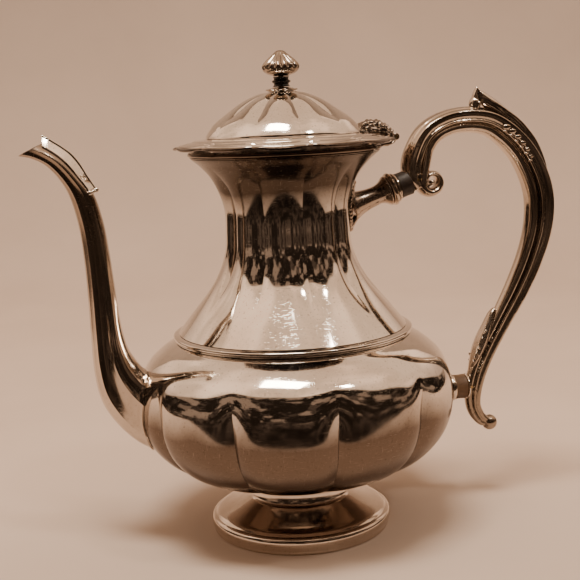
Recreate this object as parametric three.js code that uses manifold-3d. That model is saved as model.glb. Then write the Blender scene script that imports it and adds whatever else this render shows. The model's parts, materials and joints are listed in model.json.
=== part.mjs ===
// A silver coffee pot: a lobed, pear-shaped body on a round foot, with a hinged domed lid, a swan-neck
// spout and a scrolled handle held off the hot body by two insulators.
//
// Millimetres, +Z up. The pot's axis is vertical, the spout points to -X and the handle to +X.
// The origin lies on the table, under the middle of the whole pot.

import * as THREE from 'three';
import { mergeVertices } from 'three/addons/utils/BufferGeometryUtils.js';
import Module from 'manifold-3d';

const wasm = await Module();
wasm.setup();

// ---------- driving dimensions ----------

const GAP = 0.3; // clearance left between pieces that touch
const SHEET = 1.2; // thickness of the silver sheet

const SPOUT_REACH = 141; // from the pot's axis to the tip of the spout
const HANDLE_REACH = 159.6; // from the pot's axis to the back of the handle
const AXIS_X = (SPOUT_REACH - HANDLE_REACH) / 2; // the pot's axis, seen from the origin

const LOBES = 10; // lobes around the body and the lid, one of them facing the spout
const LOBE_FACETS = 4;
const AROUND = LOBES * LOBE_FACETS; // facets around the lobed pieces
const ROUND = 32; // facets around the plain ones
const BELLY_CREASE = 0.05; // depth of the creases, as a share of the radius
const BELLY_SHARPNESS = 4; // the belly's lobes are flatter than the others, with narrower creases
const NECK_CREASE = 0.05;
const DOME_CREASE = 0.06;

const FOOT_RING_HEIGHT = 9.2;
const WAIST_BOTTOM = 18.6;
const WAIST_TOP = 29.8;
const BELLY_BOTTOM = 30.2;
const BELLY_TOP = 110.2;
const BEAD_TOP = 114.3;
const NECK_TOP = 209.4;
const COLLAR_TOP = 213;
const COLLAR_RADIUS = 52.9;
const MOUTH_RADIUS = 47.5;

const BRIM_RADIUS = 60.3;
const BRIM_SCALLOPS = 12;
const SCALLOP_FACETS = 4;
const SCALLOP_DEPTH = 0.03; // as a share of the radius
const BRIM_BOTTOM = 214.4; // height of the brim's thin edge
const DOME_BOTTOM = 220.2;
const DOME_TOP = 243.3;

const STUD_RADIUS = 1.5;
const ROSETTE_HEIGHT = 2;
const WASHER_THICKNESS = 0.8;
const KNOB_BOTTOM = 251.5;
const KNOB_TOP = 265.2;
const KNOB_FLUTES = 16;

const HINGE_X = 61.8; // the hinge pin, seen from the pot's axis
const HINGE_Z = 216.2;
const KNUCKLE_RADIUS = 1.9;
const HINGE_PIN_RADIUS = 0.9;
const LID_KNUCKLE_HALF = 2.7; // half length of the lid's knuckle
const HINGE_HALF = 8; // half length of the whole hinge

const UPPER_SEAT = { x: 64.2, z: 188.1, tilt: THREE.MathUtils.degToRad(18) };
const LOWER_SEAT = { x: 95, z: 68.9, tilt: 0 };
const UPPER_BARREL = { radius: 7.2, length: 7.4, tenonRadius: 4.6, tenonLength: 7 };
const LOWER_BARREL = { radius: 7.2, length: 6.9, tenonRadius: 3.2, tenonLength: 4.6 };
const LOWER_RING_THICKNESS = 1.2;
const CROSS_PIN_RADIUS = 0.8;

// ---------- materials ----------

function silver() {
  return new THREE.MeshStandardMaterial({ color: 0xd9cfc2, metalness: 1, roughness: 0.18 });
}

function castSilver() {
  return new THREE.MeshStandardMaterial({ color: 0xb9ad9d, metalness: 1, roughness: 0.3 });
}

function darkInsulator() {
  return new THREE.MeshStandardMaterial({ color: 0x2a1d16, metalness: 0, roughness: 0.45 });
}

function brownInsulator() {
  return new THREE.MeshStandardMaterial({ color: 0x5c3a22, metalness: 0, roughness: 0.5 });
}

function blackSpindle() {
  return new THREE.MeshStandardMaterial({ color: 0x0d0b0a, metalness: 0, roughness: 0.35 });
}

function brass() {
  return new THREE.MeshStandardMaterial({ color: 0xb08d4a, metalness: 1, roughness: 0.35 });
}

// ---------- solids ----------

/** Turns a closed mesh into a solid that can be joined and cut. */
function solidOf(geometry) {
  const bare = geometry.clone();
  bare.deleteAttribute('normal');
  bare.deleteAttribute('uv');
  const merged = mergeVertices(bare, 1e-4);
  const corners = merged.index.array;
  const triangles = [];
  for (let i = 0; i < corners.length; i += 3) {
    const [a, b, c] = corners.slice(i, i + 3);
    if (a !== b && b !== c && c !== a) triangles.push(a, b, c);
  }
  return new wasm.Manifold(new wasm.Mesh({
    numProp: 3,
    vertProperties: new Float32Array(merged.attributes.position.array),
    triVerts: new Uint32Array(triangles),
  }));
}

/** Turns a solid back into a mesh. */
function geometryOf(solid) {
  const { vertProperties, triVerts } = solid.getMesh();
  const geometry = new THREE.BufferGeometry();
  geometry.setAttribute('position', new THREE.BufferAttribute(vertProperties, 3));
  geometry.setIndex(new THREE.BufferAttribute(triVerts, 1));
  geometry.computeVertexNormals();
  return geometry;
}

/** Turns a closed mesh's faces outwards, if they point inwards. */
function facingOut(geometry) {
  const { position } = geometry.attributes;
  const index = geometry.index.array;
  const [a, b, c] = [new THREE.Vector3(), new THREE.Vector3(), new THREE.Vector3()];
  let volume = 0;
  for (let i = 0; i < index.length; i += 3) {
    a.fromBufferAttribute(position, index[i]);
    b.fromBufferAttribute(position, index[i + 1]);
    c.fromBufferAttribute(position, index[i + 2]);
    volume += a.dot(b.cross(c));
  }
  if (volume < 0) index.reverse();
  return geometry;
}

/** Solid of revolution about Z, from a profile of (radius, height) points. */
function turned(profile, around = 32) {
  const points = profile.map(([radius, height]) => new THREE.Vector2(radius, height));
  return facingOut(new THREE.LatheGeometry(points, around).rotateX(Math.PI / 2));
}

/** A turned ring: its profile closes on itself. */
function turnedRing(profile, around = 32) {
  return turned([...profile, profile[0]], around);
}

/** A smooth line through a few points, as evenly spaced points. */
function smooth(points, steps) {
  const curve = new THREE.SplineCurve(points.map(([a, b]) => new THREE.Vector2(a, b)));
  return curve.getSpacedPoints(steps).map((point) => [point.x, point.y]);
}

/** Moves a profile sideways, to its left, by the given distance; points on the axis stay on it. */
function offset(profile, distance) {
  return profile.map(([radius, height], i) => {
    const [r0, z0] = profile[Math.max(i - 1, 0)];
    const [r1, z1] = profile[Math.min(i + 1, profile.length - 1)];
    const length = Math.hypot(r1 - r0, z1 - z0);
    const moved = radius === 0 ? 0 : radius - (distance * (z1 - z0)) / length;
    return [moved, height + (distance * (r1 - r0)) / length];
  });
}

/** The closed profile of a sheet whose outside is the given line, with its ends cut square or level. */
function sheet(outside, thickness = SHEET) {
  const inside = offset(outside, thickness);
  for (const end of [0, outside.length - 1]) {
    const [radius, height] = outside[end];
    const upright = Math.abs(inside[end][0] - radius) > Math.abs(inside[end][1] - height);
    inside[end][upright ? 1 : 0] = outside[end][upright ? 1 : 0];
  }
  return [...outside, ...inside.reverse()];
}

/** Presses creases between equal lobes into a turned shape. */
function lobed(geometry, lobes, creaseAt, sharpness = 2) {
  const position = geometry.attributes.position;
  const lobeAngle = (2 * Math.PI) / lobes;
  for (let i = 0; i < position.count; i += 1) {
    const turn = Math.atan2(position.getY(i), position.getX(i)) / lobeAngle;
    const towardsCrease = 2 * Math.abs(turn - Math.round(turn));
    const scale = 1 - creaseAt(position.getZ(i)) * towardsCrease ** sharpness;
    position.setXY(i, position.getX(i) * scale, position.getY(i) * scale);
  }
  return geometry;
}

/** Rises from 0 to 1 between two heights; falls where the first is the higher one. */
function ramp(value, from, to) {
  const share = THREE.MathUtils.clamp((value - from) / (to - from), 0, 1);
  return share * share * (3 - 2 * share);
}

/** A solid through a row of closed loops, each with the same number of points. */
function loft(loops) {
  const count = loops[0].length;
  const positions = loops.flat().flatMap((point) => point.toArray());
  const indices = [];
  for (let i = 0; i + 1 < loops.length; i += 1) {
    for (let j = 0; j < count; j += 1) {
      const a = i * count + j;
      const b = i * count + ((j + 1) % count);
      indices.push(a, b, b + count, a, b + count, a + count);
    }
  }
  const last = (loops.length - 1) * count;
  for (let j = 1; j + 1 < count; j += 1) {
    indices.push(0, j + 1, j, last, last + j, last + j + 1);
  }
  const geometry = new THREE.BufferGeometry();
  geometry.setAttribute('position', new THREE.Float32BufferAttribute(positions, 3));
  geometry.setIndex(indices);
  return facingOut(geometry);
}

/** A plate with an outline in the X-Z plane, centred on Y. */
function plateXZ(outline, width) {
  const shape = new THREE.Shape(outline.map(([x, z]) => new THREE.Vector2(x, z)));
  const plate = new THREE.ExtrudeGeometry(shape, { depth: width, bevelEnabled: false });
  return plate.rotateX(Math.PI / 2).translate(0, width / 2, 0);
}

/** A box given by its lowest and highest corners. */
function box([x0, y0, z0], [x1, y1, z1]) {
  const geometry = new THREE.BoxGeometry(x1 - x0, y1 - y0, z1 - z0);
  return geometry.translate((x0 + x1) / 2, (y0 + y1) / 2, (z0 + z1) / 2);
}

/** A bar along a curved line in the X-Z plane, through (x, z, thickness, width) stations. */
function barAlong(stations, steps, facets, clearance = 0) {
  const line = new THREE.CatmullRomCurve3(stations.map(([x, z]) => new THREE.Vector3(x, 0, z)));
  const halves = stations.map(([, , thick, wide]) => new THREE.Vector3(thick / 2, wide / 2, 0));
  const sizes = new THREE.CatmullRomCurve3(halves);
  return loft(Array.from({ length: steps + 1 }, (_, i) => {
    const middle = line.getPoint(i / steps);
    const along = line.getTangent(i / steps);
    const size = sizes.getPoint(i / steps);
    const outward = new THREE.Vector3(-along.z, 0, along.x);
    return Array.from({ length: facets }, (__, j) => {
      const angle = (2 * Math.PI * j) / facets;
      const point = middle.clone().addScaledVector(outward, (size.x + clearance) * Math.cos(angle));
      return point.setY((size.y + clearance) * Math.sin(angle));
    });
  }));
}

/** A round bar along Y. */
function barY(radius, length, x, y, z, around = 16) {
  return new THREE.CylinderGeometry(radius, radius, length, around).translate(x, y, z);
}

/** Turns and moves a shape made about the X axis so that it lies on a handle seat's axis. */
function onSeat(geometry, seat) {
  return geometry.rotateY(-seat.tilt).translate(seat.x, 0, seat.z);
}

/** A solid of revolution about a seat's axis, from (distance along the axis, radius) points. */
function turnedOnSeat(profile, seat, around = 18) {
  const points = profile.map(([along, radius]) => [radius, along]);
  return onSeat(turned(points, around).rotateY(Math.PI / 2), seat);
}

// ---------- foot ----------

function footRing() {
  const moulding = [
    [46.6, 0], [49.4, 0], [49.7, 2.2], [49.1, 3], [50.3, 4.2], [50.9, 6.2], [50.4, 7.8],
    [48.9, FOOT_RING_HEIGHT], [46.6, FOOT_RING_HEIGHT],
  ];
  return turnedRing(moulding, ROUND);
}

function footDome() {
  const outside = [
    [48.2, FOOT_RING_HEIGHT + GAP], [47.7, 10.9], [44, 12.4], [37, 14.4], [31, 16.8], [27.6, 18.2],
    [24.4, 18.3],
  ];
  return turnedRing(sheet(outside), ROUND);
}

function footWaist() {
  const outside = smooth([[28.8, WAIST_BOTTOM], [26.7, 21.6], [26.4, 25], [28.6, WAIST_TOP]], 3);
  return turnedRing(sheet(outside, 2), ROUND);
}

// ---------- body ----------

const BELLY_OUTSIDE = smooth([
  [0, BELLY_BOTTOM], [18, BELLY_BOTTOM], [32, 30.7], [46, 32.8], [60, 36.9], [72.5, 44], [82, 53.8],
  [87.3, 65.5], [88.4, 77], [86.9, 88], [81.6, 98], [73.6, 105.4], [65.4, BELLY_TOP],
], 11);

const NECK_OUTSIDE = smooth([
  [63, BEAD_TOP + GAP], [54.6, 125.4], [42.6, 141.5], [36.2, 156], [34.8, 169], [35, 183], [39.8, 196.5],
  [51.2, NECK_TOP],
], 9);

function bellyCrease(height) {
  return BELLY_CREASE * ramp(height, 99, 74) * ramp(height, BELLY_BOTTOM + SHEET, 36);
}

function neckCrease(height) {
  return NECK_CREASE * ramp(height, 122, 152) * ramp(height, 207, 192);
}

/** The space that the belly fills, grown by a clearance: neighbours are cut back to it. */
function bellySpace(clearance) {
  const outside = offset(BELLY_OUTSIDE, -clearance);
  const form = turned([...outside, [0, BELLY_TOP]], AROUND);
  return solidOf(lobed(form, LOBES, bellyCrease, BELLY_SHARPNESS));
}

/** The space that the neck fills, grown by a clearance. */
function neckSpace(clearance) {
  const outside = offset(NECK_OUTSIDE, -clearance);
  const bottom = outside[0][1];
  const top = outside[outside.length - 1][1];
  return solidOf(lobed(turned([[0, bottom], ...outside, [0, top]], AROUND), LOBES, neckCrease));
}

/** The lower bowl, pierced behind the spout so that the grounds stay in. */
function belly() {
  const form = turned(sheet(BELLY_OUTSIDE), AROUND);
  let bowl = solidOf(lobed(form, LOBES, bellyCrease, BELLY_SHARPNESS));
  const holeRadius = 1.6;
  const pitch = 6;
  for (let row = -2; row <= 2; row += 1) {
    const holes = row % 2 === 0 ? [-1, 0, 1] : [-0.5, 0.5];
    for (const place of holes) {
      const hole = new THREE.CylinderGeometry(holeRadius, holeRadius, 12, 8).rotateZ(Math.PI / 2);
      bowl = bowl.subtract(solidOf(hole.translate(-87, place * pitch, 76 + row * pitch)));
    }
  }
  return geometryOf(bowl);
}

function shoulderBead() {
  const low = BELLY_TOP + GAP;
  const moulding = [
    [61.5, low], [65.6, low], [66.3, low + 1.3], [66.1, low + 2.6], [64.9, BEAD_TOP], [61.5, BEAD_TOP],
  ];
  return turnedRing(moulding, ROUND);
}

function neck() {
  return lobed(turnedRing(sheet(NECK_OUTSIDE), AROUND), LOBES, neckCrease);
}

function mouthCollar() {
  const low = NECK_TOP + GAP;
  const chamfer = 0.8;
  const moulding = [
    [MOUTH_RADIUS, low], [COLLAR_RADIUS - chamfer, low], [COLLAR_RADIUS, low + chamfer],
    [COLLAR_RADIUS, COLLAR_TOP - chamfer], [COLLAR_RADIUS - chamfer, COLLAR_TOP], [MOUTH_RADIUS, COLLAR_TOP],
  ];
  return turnedRing(moulding, ROUND);
}

// ---------- spout ----------

// Sections of the spout from its root, inside the belly, to its lip: the lowest point, the highest point
// and half the width across.
const SPOUT_SECTIONS = [
  [-73, 49.5, -77, 91, 14.5],
  [-82, 53.3, -84.4, 99, 14.5],
  [-91.5, 59.8, -88.4, 104.6, 14],
  [-101, 70.5, -91.9, 111.4, 12.8],
  [-107.8, 83, -94, 120, 11.2],
  [-110.6, 99, -95.2, 129, 9.8],
  [-111, 118, -96, 138.5, 8.8],
  [-111, 138, -96.9, 150, 8.2],
  [-111.4, 158, -98, 163, 7.9],
  [-112.8, 177, -99.9, 179, 7.6],
  [-116.2, 193, -103.8, 194.2, 7.4],
  [-120.8, 202.8, -110.4, 204.4, 7.2],
  [-127.5, 210.8, -117.2, 213, 7],
  [-134.5, 214.7, -123.6, 218.6, 6.8],
  [-SPOUT_REACH, 216.4, -128.8, 222, 6.2],
];
const SPOUT_FACETS = 12;

/** The spout's outer form, grown outwards by a clearance, or shrunk where that is negative. */
function spoutForm(sections, clearance) {
  return solidOf(loft(sections.map(([lowX, lowZ, highX, highZ, halfWidth]) => {
    const middle = new THREE.Vector3((lowX + highX) / 2, 0, (lowZ + highZ) / 2);
    const up = new THREE.Vector3(highX - lowX, 0, highZ - lowZ).divideScalar(2);
    up.setLength(up.length() + clearance);
    const across = new THREE.Vector3(0, halfWidth + clearance, 0);
    return Array.from({ length: SPOUT_FACETS }, (_, i) => {
      const angle = (2 * Math.PI * i) / SPOUT_FACETS;
      return middle.clone().addScaledVector(up, Math.sin(angle)).addScaledVector(across, Math.cos(angle));
    });
  })));
}

/** The spout's bore: it runs on past both of its ends. */
function spoutBore() {
  const [root, ...others] = SPOUT_SECTIONS;
  const lip = others[others.length - 1];
  const before = [root[0] + 10, root[1], root[2] + 10, root[3], root[4]];
  const beyond = [lip[0] - 6, lip[1] + 3, lip[2] - 6, lip[3] + 3, lip[4]];
  return spoutForm([before, root, ...others, beyond], -SHEET);
}

/** One of the two stamped halves that are joined along the spout's front and back. */
function spoutHalf(side) {
  const far = 40;
  const wall = spoutForm(SPOUT_SECTIONS, 0).subtract(spoutBore()).subtract(bellySpace(GAP));
  const near = (side * GAP) / 2;
  const keep = box([-160, Math.min(near, side * far), 30], [-60, Math.max(near, side * far), 240]);
  return geometryOf(wall.intersect(solidOf(keep)));
}

/** The crest that stands along the top of the spout, from the lip down to a small curl. */
function spoutBand() {
  const bandWidth = 6.4;
  const outline = [
    [-127.4, 226.5], [-122, 223.2], [-116.2, 217], [-110.6, 208.8], [-106.4, 200.8], [-104.4, 195.4],
    [-108, 196.5], [-114, 207], [-120, 214], [-127.4, 220],
  ];
  return geometryOf(solidOf(plateXZ(outline, bandWidth)).subtract(spoutForm(SPOUT_SECTIONS, 2 * GAP)));
}

// ---------- lid ----------

const BRIM_TOP_LINE = [
  [BRIM_RADIUS, BRIM_BOTTOM + 1.3], [57, 216.3], [55.4, 217.2], [50.6, 217.9], [49, 218.8],
  [41, DOME_BOTTOM - GAP],
];
const DOME_OUTSIDE = smooth([
  [42.6, DOME_BOTTOM], [40.6, 223.8], [36.8, 228.2], [29.4, 233.6], [21.2, 239], [13, 242.5], [2, DOME_TOP],
], 7);

function domeCrease(height) {
  return DOME_CREASE * ramp(height, 228, 238);
}

/** The stepped flange with its wavy edge, notched for the hinge. */
function lidBrim() {
  const scallops = (height) => SCALLOP_DEPTH * ramp(height, 217.8, 216);
  const flange = turnedRing(sheet(BRIM_TOP_LINE, 1.3), BRIM_SCALLOPS * SCALLOP_FACETS);
  const wavy = lobed(flange.rotateZ(Math.PI / BRIM_SCALLOPS), BRIM_SCALLOPS, scallops);
  const slot = box([HINGE_X - 2.5, -HINGE_HALF - 0.6, 205], [70, HINGE_HALF + 0.6, 225]);
  return geometryOf(solidOf(wavy.rotateZ(Math.PI / BRIM_SCALLOPS)).subtract(solidOf(slot)));
}

/** The ring under the lid that rests on the mouth and keeps the lid centred in it. */
function lidBezel() {
  const tongue = MOUTH_RADIUS - 0.7;
  const seat = COLLAR_TOP + GAP;
  return turnedRing([
    [tongue - SHEET, 207.5], [tongue, 207.5], [tongue, seat], [51.5, seat], [51.5, 215.2], [47.2, 216.9],
    [tongue - SHEET, 216.9],
  ], ROUND);
}

function lidDome() {
  return lobed(turnedRing(sheet(DOME_OUTSIDE), AROUND), LOBES, domeCrease);
}

function finialRosette() {
  const low = DOME_TOP + GAP;
  const bore = STUD_RADIUS + GAP;
  const plate = turnedRing([
    [bore, low], [8.4, low], [8.8, low + 0.7], [6.4, low + 1.3], [5.6, low + ROSETTE_HEIGHT],
    [bore, low + ROSETTE_HEIGHT],
  ], 32);
  const petals = 8;
  return lobed(plate, petals, (height) => 0.16 * ramp(height, low + ROSETTE_HEIGHT, low));
}

function finialSpindle() {
  const low = DOME_TOP + GAP + ROSETTE_HEIGHT + GAP;
  const high = KNOB_BOTTOM - GAP;
  const ringLow = 248;
  return turnedRing([
    [STUD_RADIUS + GAP, low], [4.4, low], [4, ringLow], [4.9, ringLow + 0.3], [4.9, ringLow + 1.2],
    [4, ringLow + 1.5], [4.3, high], [STUD_RADIUS + GAP, high],
  ], 18);
}

function finialKnob() {
  const bore = STUD_RADIUS + GAP;
  const boreTop = 261;
  const profile = [
    [bore, boreTop], [bore, KNOB_BOTTOM], [4.4, KNOB_BOTTOM], [8.2, 252.9], [9.9, 254.6], [10.3, 256.4],
    [9.5, 258.3], [7.2, 260.6], [4.6, 262.8], [2.4, 264.4], [0, KNOB_TOP],
  ];
  const knob = turned([[0, boreTop], ...profile], KNOB_FLUTES * 2);
  return lobed(knob, KNOB_FLUTES, (height) => 0.1 * ramp(height, 255, 257.5));
}

function finialStud() {
  return turned([[0, 236.6], [STUD_RADIUS, 236.6], [STUD_RADIUS, 260.4], [0, 260.4]], 16);
}

function finialWasher() {
  const top = DOME_TOP - SHEET - GAP;
  const low = top - WASHER_THICKNESS;
  const bore = STUD_RADIUS + GAP;
  return turnedRing([[bore, low], [5, low], [5, top], [bore, top]], 18);
}

function finialNut() {
  const top = DOME_TOP - SHEET - GAP - WASHER_THICKNESS - GAP;
  const bore = STUD_RADIUS + GAP;
  const hexagon = solidOf(turned([[0, top - 2.6], [3.4, top - 2.6], [3.4, top], [0, top]], 6));
  const hole = solidOf(turned([[0, 230], [bore, 230], [bore, 250], [0, 250]], 16));
  return geometryOf(hexagon.subtract(hole));
}

// ---------- hinge ----------

function hingeBore() {
  return solidOf(barY(HINGE_PIN_RADIUS + GAP, 40, HINGE_X, 0, HINGE_Z));
}

/** The fixed leaf: it is soldered to the mouth collar and carries the two outer knuckles. */
function hingeBodyLeaf() {
  const low = 210.6;
  const leafTop = BRIM_BOTTOM - GAP - 0.2;
  const reach = COLLAR_RADIUS + GAP;
  const collar = solidOf(turned([[0, 200], [reach, 200], [reach, 230], [0, 230]], AROUND));
  let leaf = solidOf(box([50, -HINGE_HALF, low], [HINGE_X + 1.6, HINGE_HALF, leafTop])).subtract(collar);
  for (const side of [-1, 1]) {
    const inner = LID_KNUCKLE_HALF + GAP;
    const length = HINGE_HALF - inner;
    const middle = side * (inner + length / 2);
    const [y0, y1] = [middle - length / 2, middle + length / 2];
    const post = box([HINGE_X - 1.7, y0, low], [HINGE_X + 1.6, y1, HINGE_Z]);
    leaf = leaf.add(solidOf(post)).add(solidOf(barY(KNUCKLE_RADIUS, length, HINGE_X, middle, HINGE_Z)));
  }
  const lidKnuckleRoom = barY(KNUCKLE_RADIUS + GAP, 2 * (LID_KNUCKLE_HALF + GAP), HINGE_X, 0, HINGE_Z);
  return geometryOf(leaf.subtract(hingeBore()).subtract(solidOf(lidKnuckleRoom)));
}

/** The outline of the moving leaf, which lies along the top of the brim. */
function lidLeafOutline(clearance) {
  const low = [[HINGE_X - 1, 216.1], [57, 216.7], [55.4, 217.6], [50.6, 218.3], [49, 219.2], [45, 219.8]];
  const high = [[45, 221.6], [51, 220.2], [56.5, 218.9], [HINGE_X - 0.4, 217.8]];
  return [...low.map(([x, z]) => [x, z - clearance]), ...high.map(([x, z]) => [x, z + clearance])];
}

function hingeLidLeaf() {
  const width = 2 * LID_KNUCKLE_HALF;
  const strip = solidOf(plateXZ(lidLeafOutline(0), width));
  const knuckle = solidOf(barY(KNUCKLE_RADIUS, width, HINGE_X, 0, HINGE_Z));
  return geometryOf(strip.add(knuckle).subtract(hingeBore()));
}

function hingePin() {
  return barY(HINGE_PIN_RADIUS, 2 * (HINGE_HALF + 0.6), HINGE_X, 0, HINGE_Z);
}

/** The cast leaf that hides the hinge: it arches over the moving leaf and rests on the brim. */
function hingeOrnament() {
  const outline = smooth([
    [59.4, 217.6], [59.2, 221], [56.2, 224.4], [51, 225.9], [46, 226], [42.6, 225], [42.8, 222], [48, 219.6],
    [59.4, 217.6],
  ], 16);
  const width = 14;
  const cast = solidOf(plateXZ(outline.slice(0, -1), width));
  const domeRoom = solidOf(turned([[0, 215], ...offset(DOME_OUTSIDE, -GAP), [0, DOME_TOP + 5]], AROUND));
  const brimRoom = BRIM_TOP_LINE.map(([radius, height]) => [radius, height + 0.4]);
  const flange = solidOf(turned([[0, 200], [BRIM_RADIUS, 200], ...brimRoom, [0, 220.3]], AROUND));
  const leafRoom = solidOf(plateXZ(lidLeafOutline(0.4), 2 * LID_KNUCKLE_HALF + 0.8));
  const knuckles = solidOf(barY(KNUCKLE_RADIUS + 0.5, 40, HINGE_X, 0, HINGE_Z));
  return geometryOf(cast.subtract(domeRoom).subtract(flange).subtract(leafRoom).subtract(knuckles));
}

// ---------- handle ----------

// The handle's centre line from the scroll at its top to the ball at its foot, and its width there.
const HANDLE_LINE = [
  [78.4, 187, 12], [75.3, 194, 15.8], [75.9, 203, 16.2], [82.4, 215.2, 15.2], [93.5, 221.6, 14.4],
  [107.5, 223.3, 14.6], [121, 220.6, 15.2], [133.6, 211.4, 16.2], [143.6, 198.4, 16.8], [150.4, 180, 17.2],
  [150.2, 161, 16.8], [145, 143, 15.6], [136.2, 124.2, 14.4], [125.2, 105.4, 12.4], [114.8, 87, 11.4],
  [108.8, 72, 10.6], [107.2, 58.6, 9], [110.8, 49.6, 8], [116.4, 45.4, 7.2],
];
const HANDLE_STEPS = 27;
const HANDLE_FACETS = 8;
const HANDLE_DEPTH = 0.92; // across the handle, as a share of its width
const HANDLE_BALL = { x: 117.8, z: 44.9, radius: 4.6 };
const VOLUTE = { x: 83.6, z: 189.6, radius: 7.3, thickness: 13 };

/** The handle's tube with its scroll and ball, grown by a clearance. */
function handleForm(clearance) {
  const stations = HANDLE_LINE.map(([x, z, width]) => [x, z, width, HANDLE_DEPTH * width]);
  const tube = barAlong(stations, HANDLE_STEPS, HANDLE_FACETS, clearance);
  const ball = new THREE.SphereGeometry(HANDLE_BALL.radius + clearance, 14, 10);
  const volute = barY(VOLUTE.radius + clearance, VOLUTE.thickness + 2 * clearance, VOLUTE.x, 0, VOLUTE.z, 24);
  return solidOf(tube)
    .add(solidOf(ball.translate(HANDLE_BALL.x, 0, HANDLE_BALL.z)))
    .add(solidOf(volute));
}

/** The room that an insulator and its tenon need in the piece on one side of it. */
function barrelRoom(seat, barrel) {
  const end = barrel.length + barrel.tenonLength + GAP;
  const radius = barrel.radius + GAP;
  const tenon = barrel.tenonRadius + GAP;
  const far = barrel.length + GAP + (barrel === LOWER_BARREL ? LOWER_RING_THICKNESS + GAP : 0);
  return solidOf(turnedOnSeat([
    [-barrel.tenonLength - GAP, 0], [-barrel.tenonLength - GAP, tenon], [-GAP, tenon], [-GAP, radius],
    [far, radius], [far, tenon], [end, tenon], [end, 0],
  ], seat));
}

/** Where a cross pin passes through an insulator's tenon, as a distance along the seat's axis. */
function pinPlaces(barrel) {
  const ring = barrel === LOWER_BARREL ? LOWER_RING_THICKNESS + GAP : 0;
  const depth = barrel.tenonLength - ring;
  return { body: -barrel.tenonLength / 2, handle: barrel.length + ring + depth / 2 };
}

/** A cross pin, or the hole for it, through a tenon. */
function crossPin(seat, along, radius, length) {
  return onSeat(new THREE.CylinderGeometry(radius, radius, length, 12).translate(along, 0, 0), seat);
}

function pinHoles(seat, barrel) {
  const places = pinPlaces(barrel);
  const radius = CROSS_PIN_RADIUS + GAP;
  const through = 40;
  const bodyHole = crossPin(seat, places.body, radius, through);
  return solidOf(bodyHole).add(solidOf(crossPin(seat, places.handle, radius, through)));
}

function handle() {
  return geometryOf(
    handleForm(0)
      .subtract(barrelRoom(UPPER_SEAT, UPPER_BARREL))
      .subtract(barrelRoom(LOWER_SEAT, LOWER_BARREL))
      .subtract(pinHoles(UPPER_SEAT, UPPER_BARREL))
      .subtract(pinHoles(LOWER_SEAT, LOWER_BARREL)),
  );
}

/** A leaf from (x, z, thickness, width) stations, cut back where it lies against the handle. */
function handleLeaf(stations) {
  const steps = 2 * (stations.length - 1);
  return geometryOf(solidOf(barAlong(stations, steps, 10)).subtract(handleForm(GAP)));
}

/** The leaf that the thumb presses on: it springs up off the top of the handle. */
function thumbLeaf() {
  return handleLeaf([
    [112.8, 240.2, 1, 2], [111.6, 236, 5, 6], [116, 232.6, 7.4, 9], [125, 228, 7.4, 12],
    [134, 220.6, 8.6, 15], [144, 209.6, 10, 15.6], [151.6, 196.6, 9.6, 12.6], [157, 184, 5, 5],
  ]);
}

/** The leaf that wraps the inside of the handle near its foot. */
function lowerLeaf() {
  return handleLeaf([
    [120.2, 112, 1, 3], [117.4, 103, 7, 10.6], [113.2, 94, 8.6, 12], [109.4, 85.6, 7, 10.4],
    [105.6, 78.6, 1.6, 4],
  ]);
}

// ---------- sockets and insulators ----------

/** The cast socket on the neck: a leaf-shaped plate, a bracket under it and a bell-mouthed stem. */
function upperSocket() {
  const stem = solidOf(turnedOnSeat([
    [-34, 0], [-34, 9], [-27, 7.6], [-21, 6.3], [-14, 6.1], [-9.5, 6.9], [-6.2, 8.2], [-6.2, 9], [0, 9],
    [0, 0],
  ], UPPER_SEAT));
  const ferruleRoom = solidOf(turnedOnSeat([[-6.2 + GAP, 0], [-6.2 + GAP, 14], [1, 14], [1, 0]], UPPER_SEAT));
  const outline = new THREE.Shape();
  outline.moveTo(0, 164.8);
  outline.bezierCurveTo(3.6, 171, 8.4, 176, 7.6, 184);
  outline.bezierCurveTo(7, 189.6, 4, 189, 0, 193);
  outline.bezierCurveTo(-4, 189, -7, 189.6, -7.6, 184);
  outline.bezierCurveTo(-8.4, 176, -3.6, 171, 0, 164.8);
  const plate = new THREE.ExtrudeGeometry(outline, { depth: 10, bevelEnabled: false, curveSegments: 6 });
  const leaf = solidOf(plate.rotateX(Math.PI / 2).rotateZ(Math.PI / 2).translate(29, 0, 0));
  const bracket = solidOf(plateXZ([
    [30, 166], [36.8, 166], [40, 171], [43.4, 174.8], [47, 177.5], [51, 179.6], [51, 184], [30, 184],
  ], 5));
  return geometryOf(
    stem.add(leaf).add(bracket)
      .subtract(neckSpace(GAP))
      .subtract(ferruleRoom)
      .subtract(barrelRoom(UPPER_SEAT, UPPER_BARREL))
      .subtract(pinHoles(UPPER_SEAT, UPPER_BARREL)),
  );
}

/** The beaded ring around the mouth of the upper socket. */
function upperFerrule() {
  const inside = UPPER_BARREL.tenonRadius + GAP;
  const low = -6.2 + 2 * GAP;
  const ring = turnedOnSeat([
    [low, inside], [-GAP, inside], [-GAP, 7.6], [-1.8, 7.7], [-2.4, 9], [-3.8, 9.5], [low + 0.6, 9],
    [low, 8.2], [low, inside],
  ], UPPER_SEAT);
  return geometryOf(solidOf(ring).subtract(pinHoles(UPPER_SEAT, UPPER_BARREL)));
}

/** An insulating barrel with a tenon at each end. */
function insulator(seat, barrel) {
  const end = barrel.length + barrel.tenonLength;
  const body = turnedOnSeat([
    [-barrel.tenonLength, 0], [-barrel.tenonLength, barrel.tenonRadius], [0, barrel.tenonRadius],
    [0, barrel.radius], [barrel.length, barrel.radius], [barrel.length, barrel.tenonRadius],
    [end, barrel.tenonRadius], [end, 0],
  ], seat);
  return geometryOf(solidOf(body).subtract(pinHoles(seat, barrel)));
}

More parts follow.
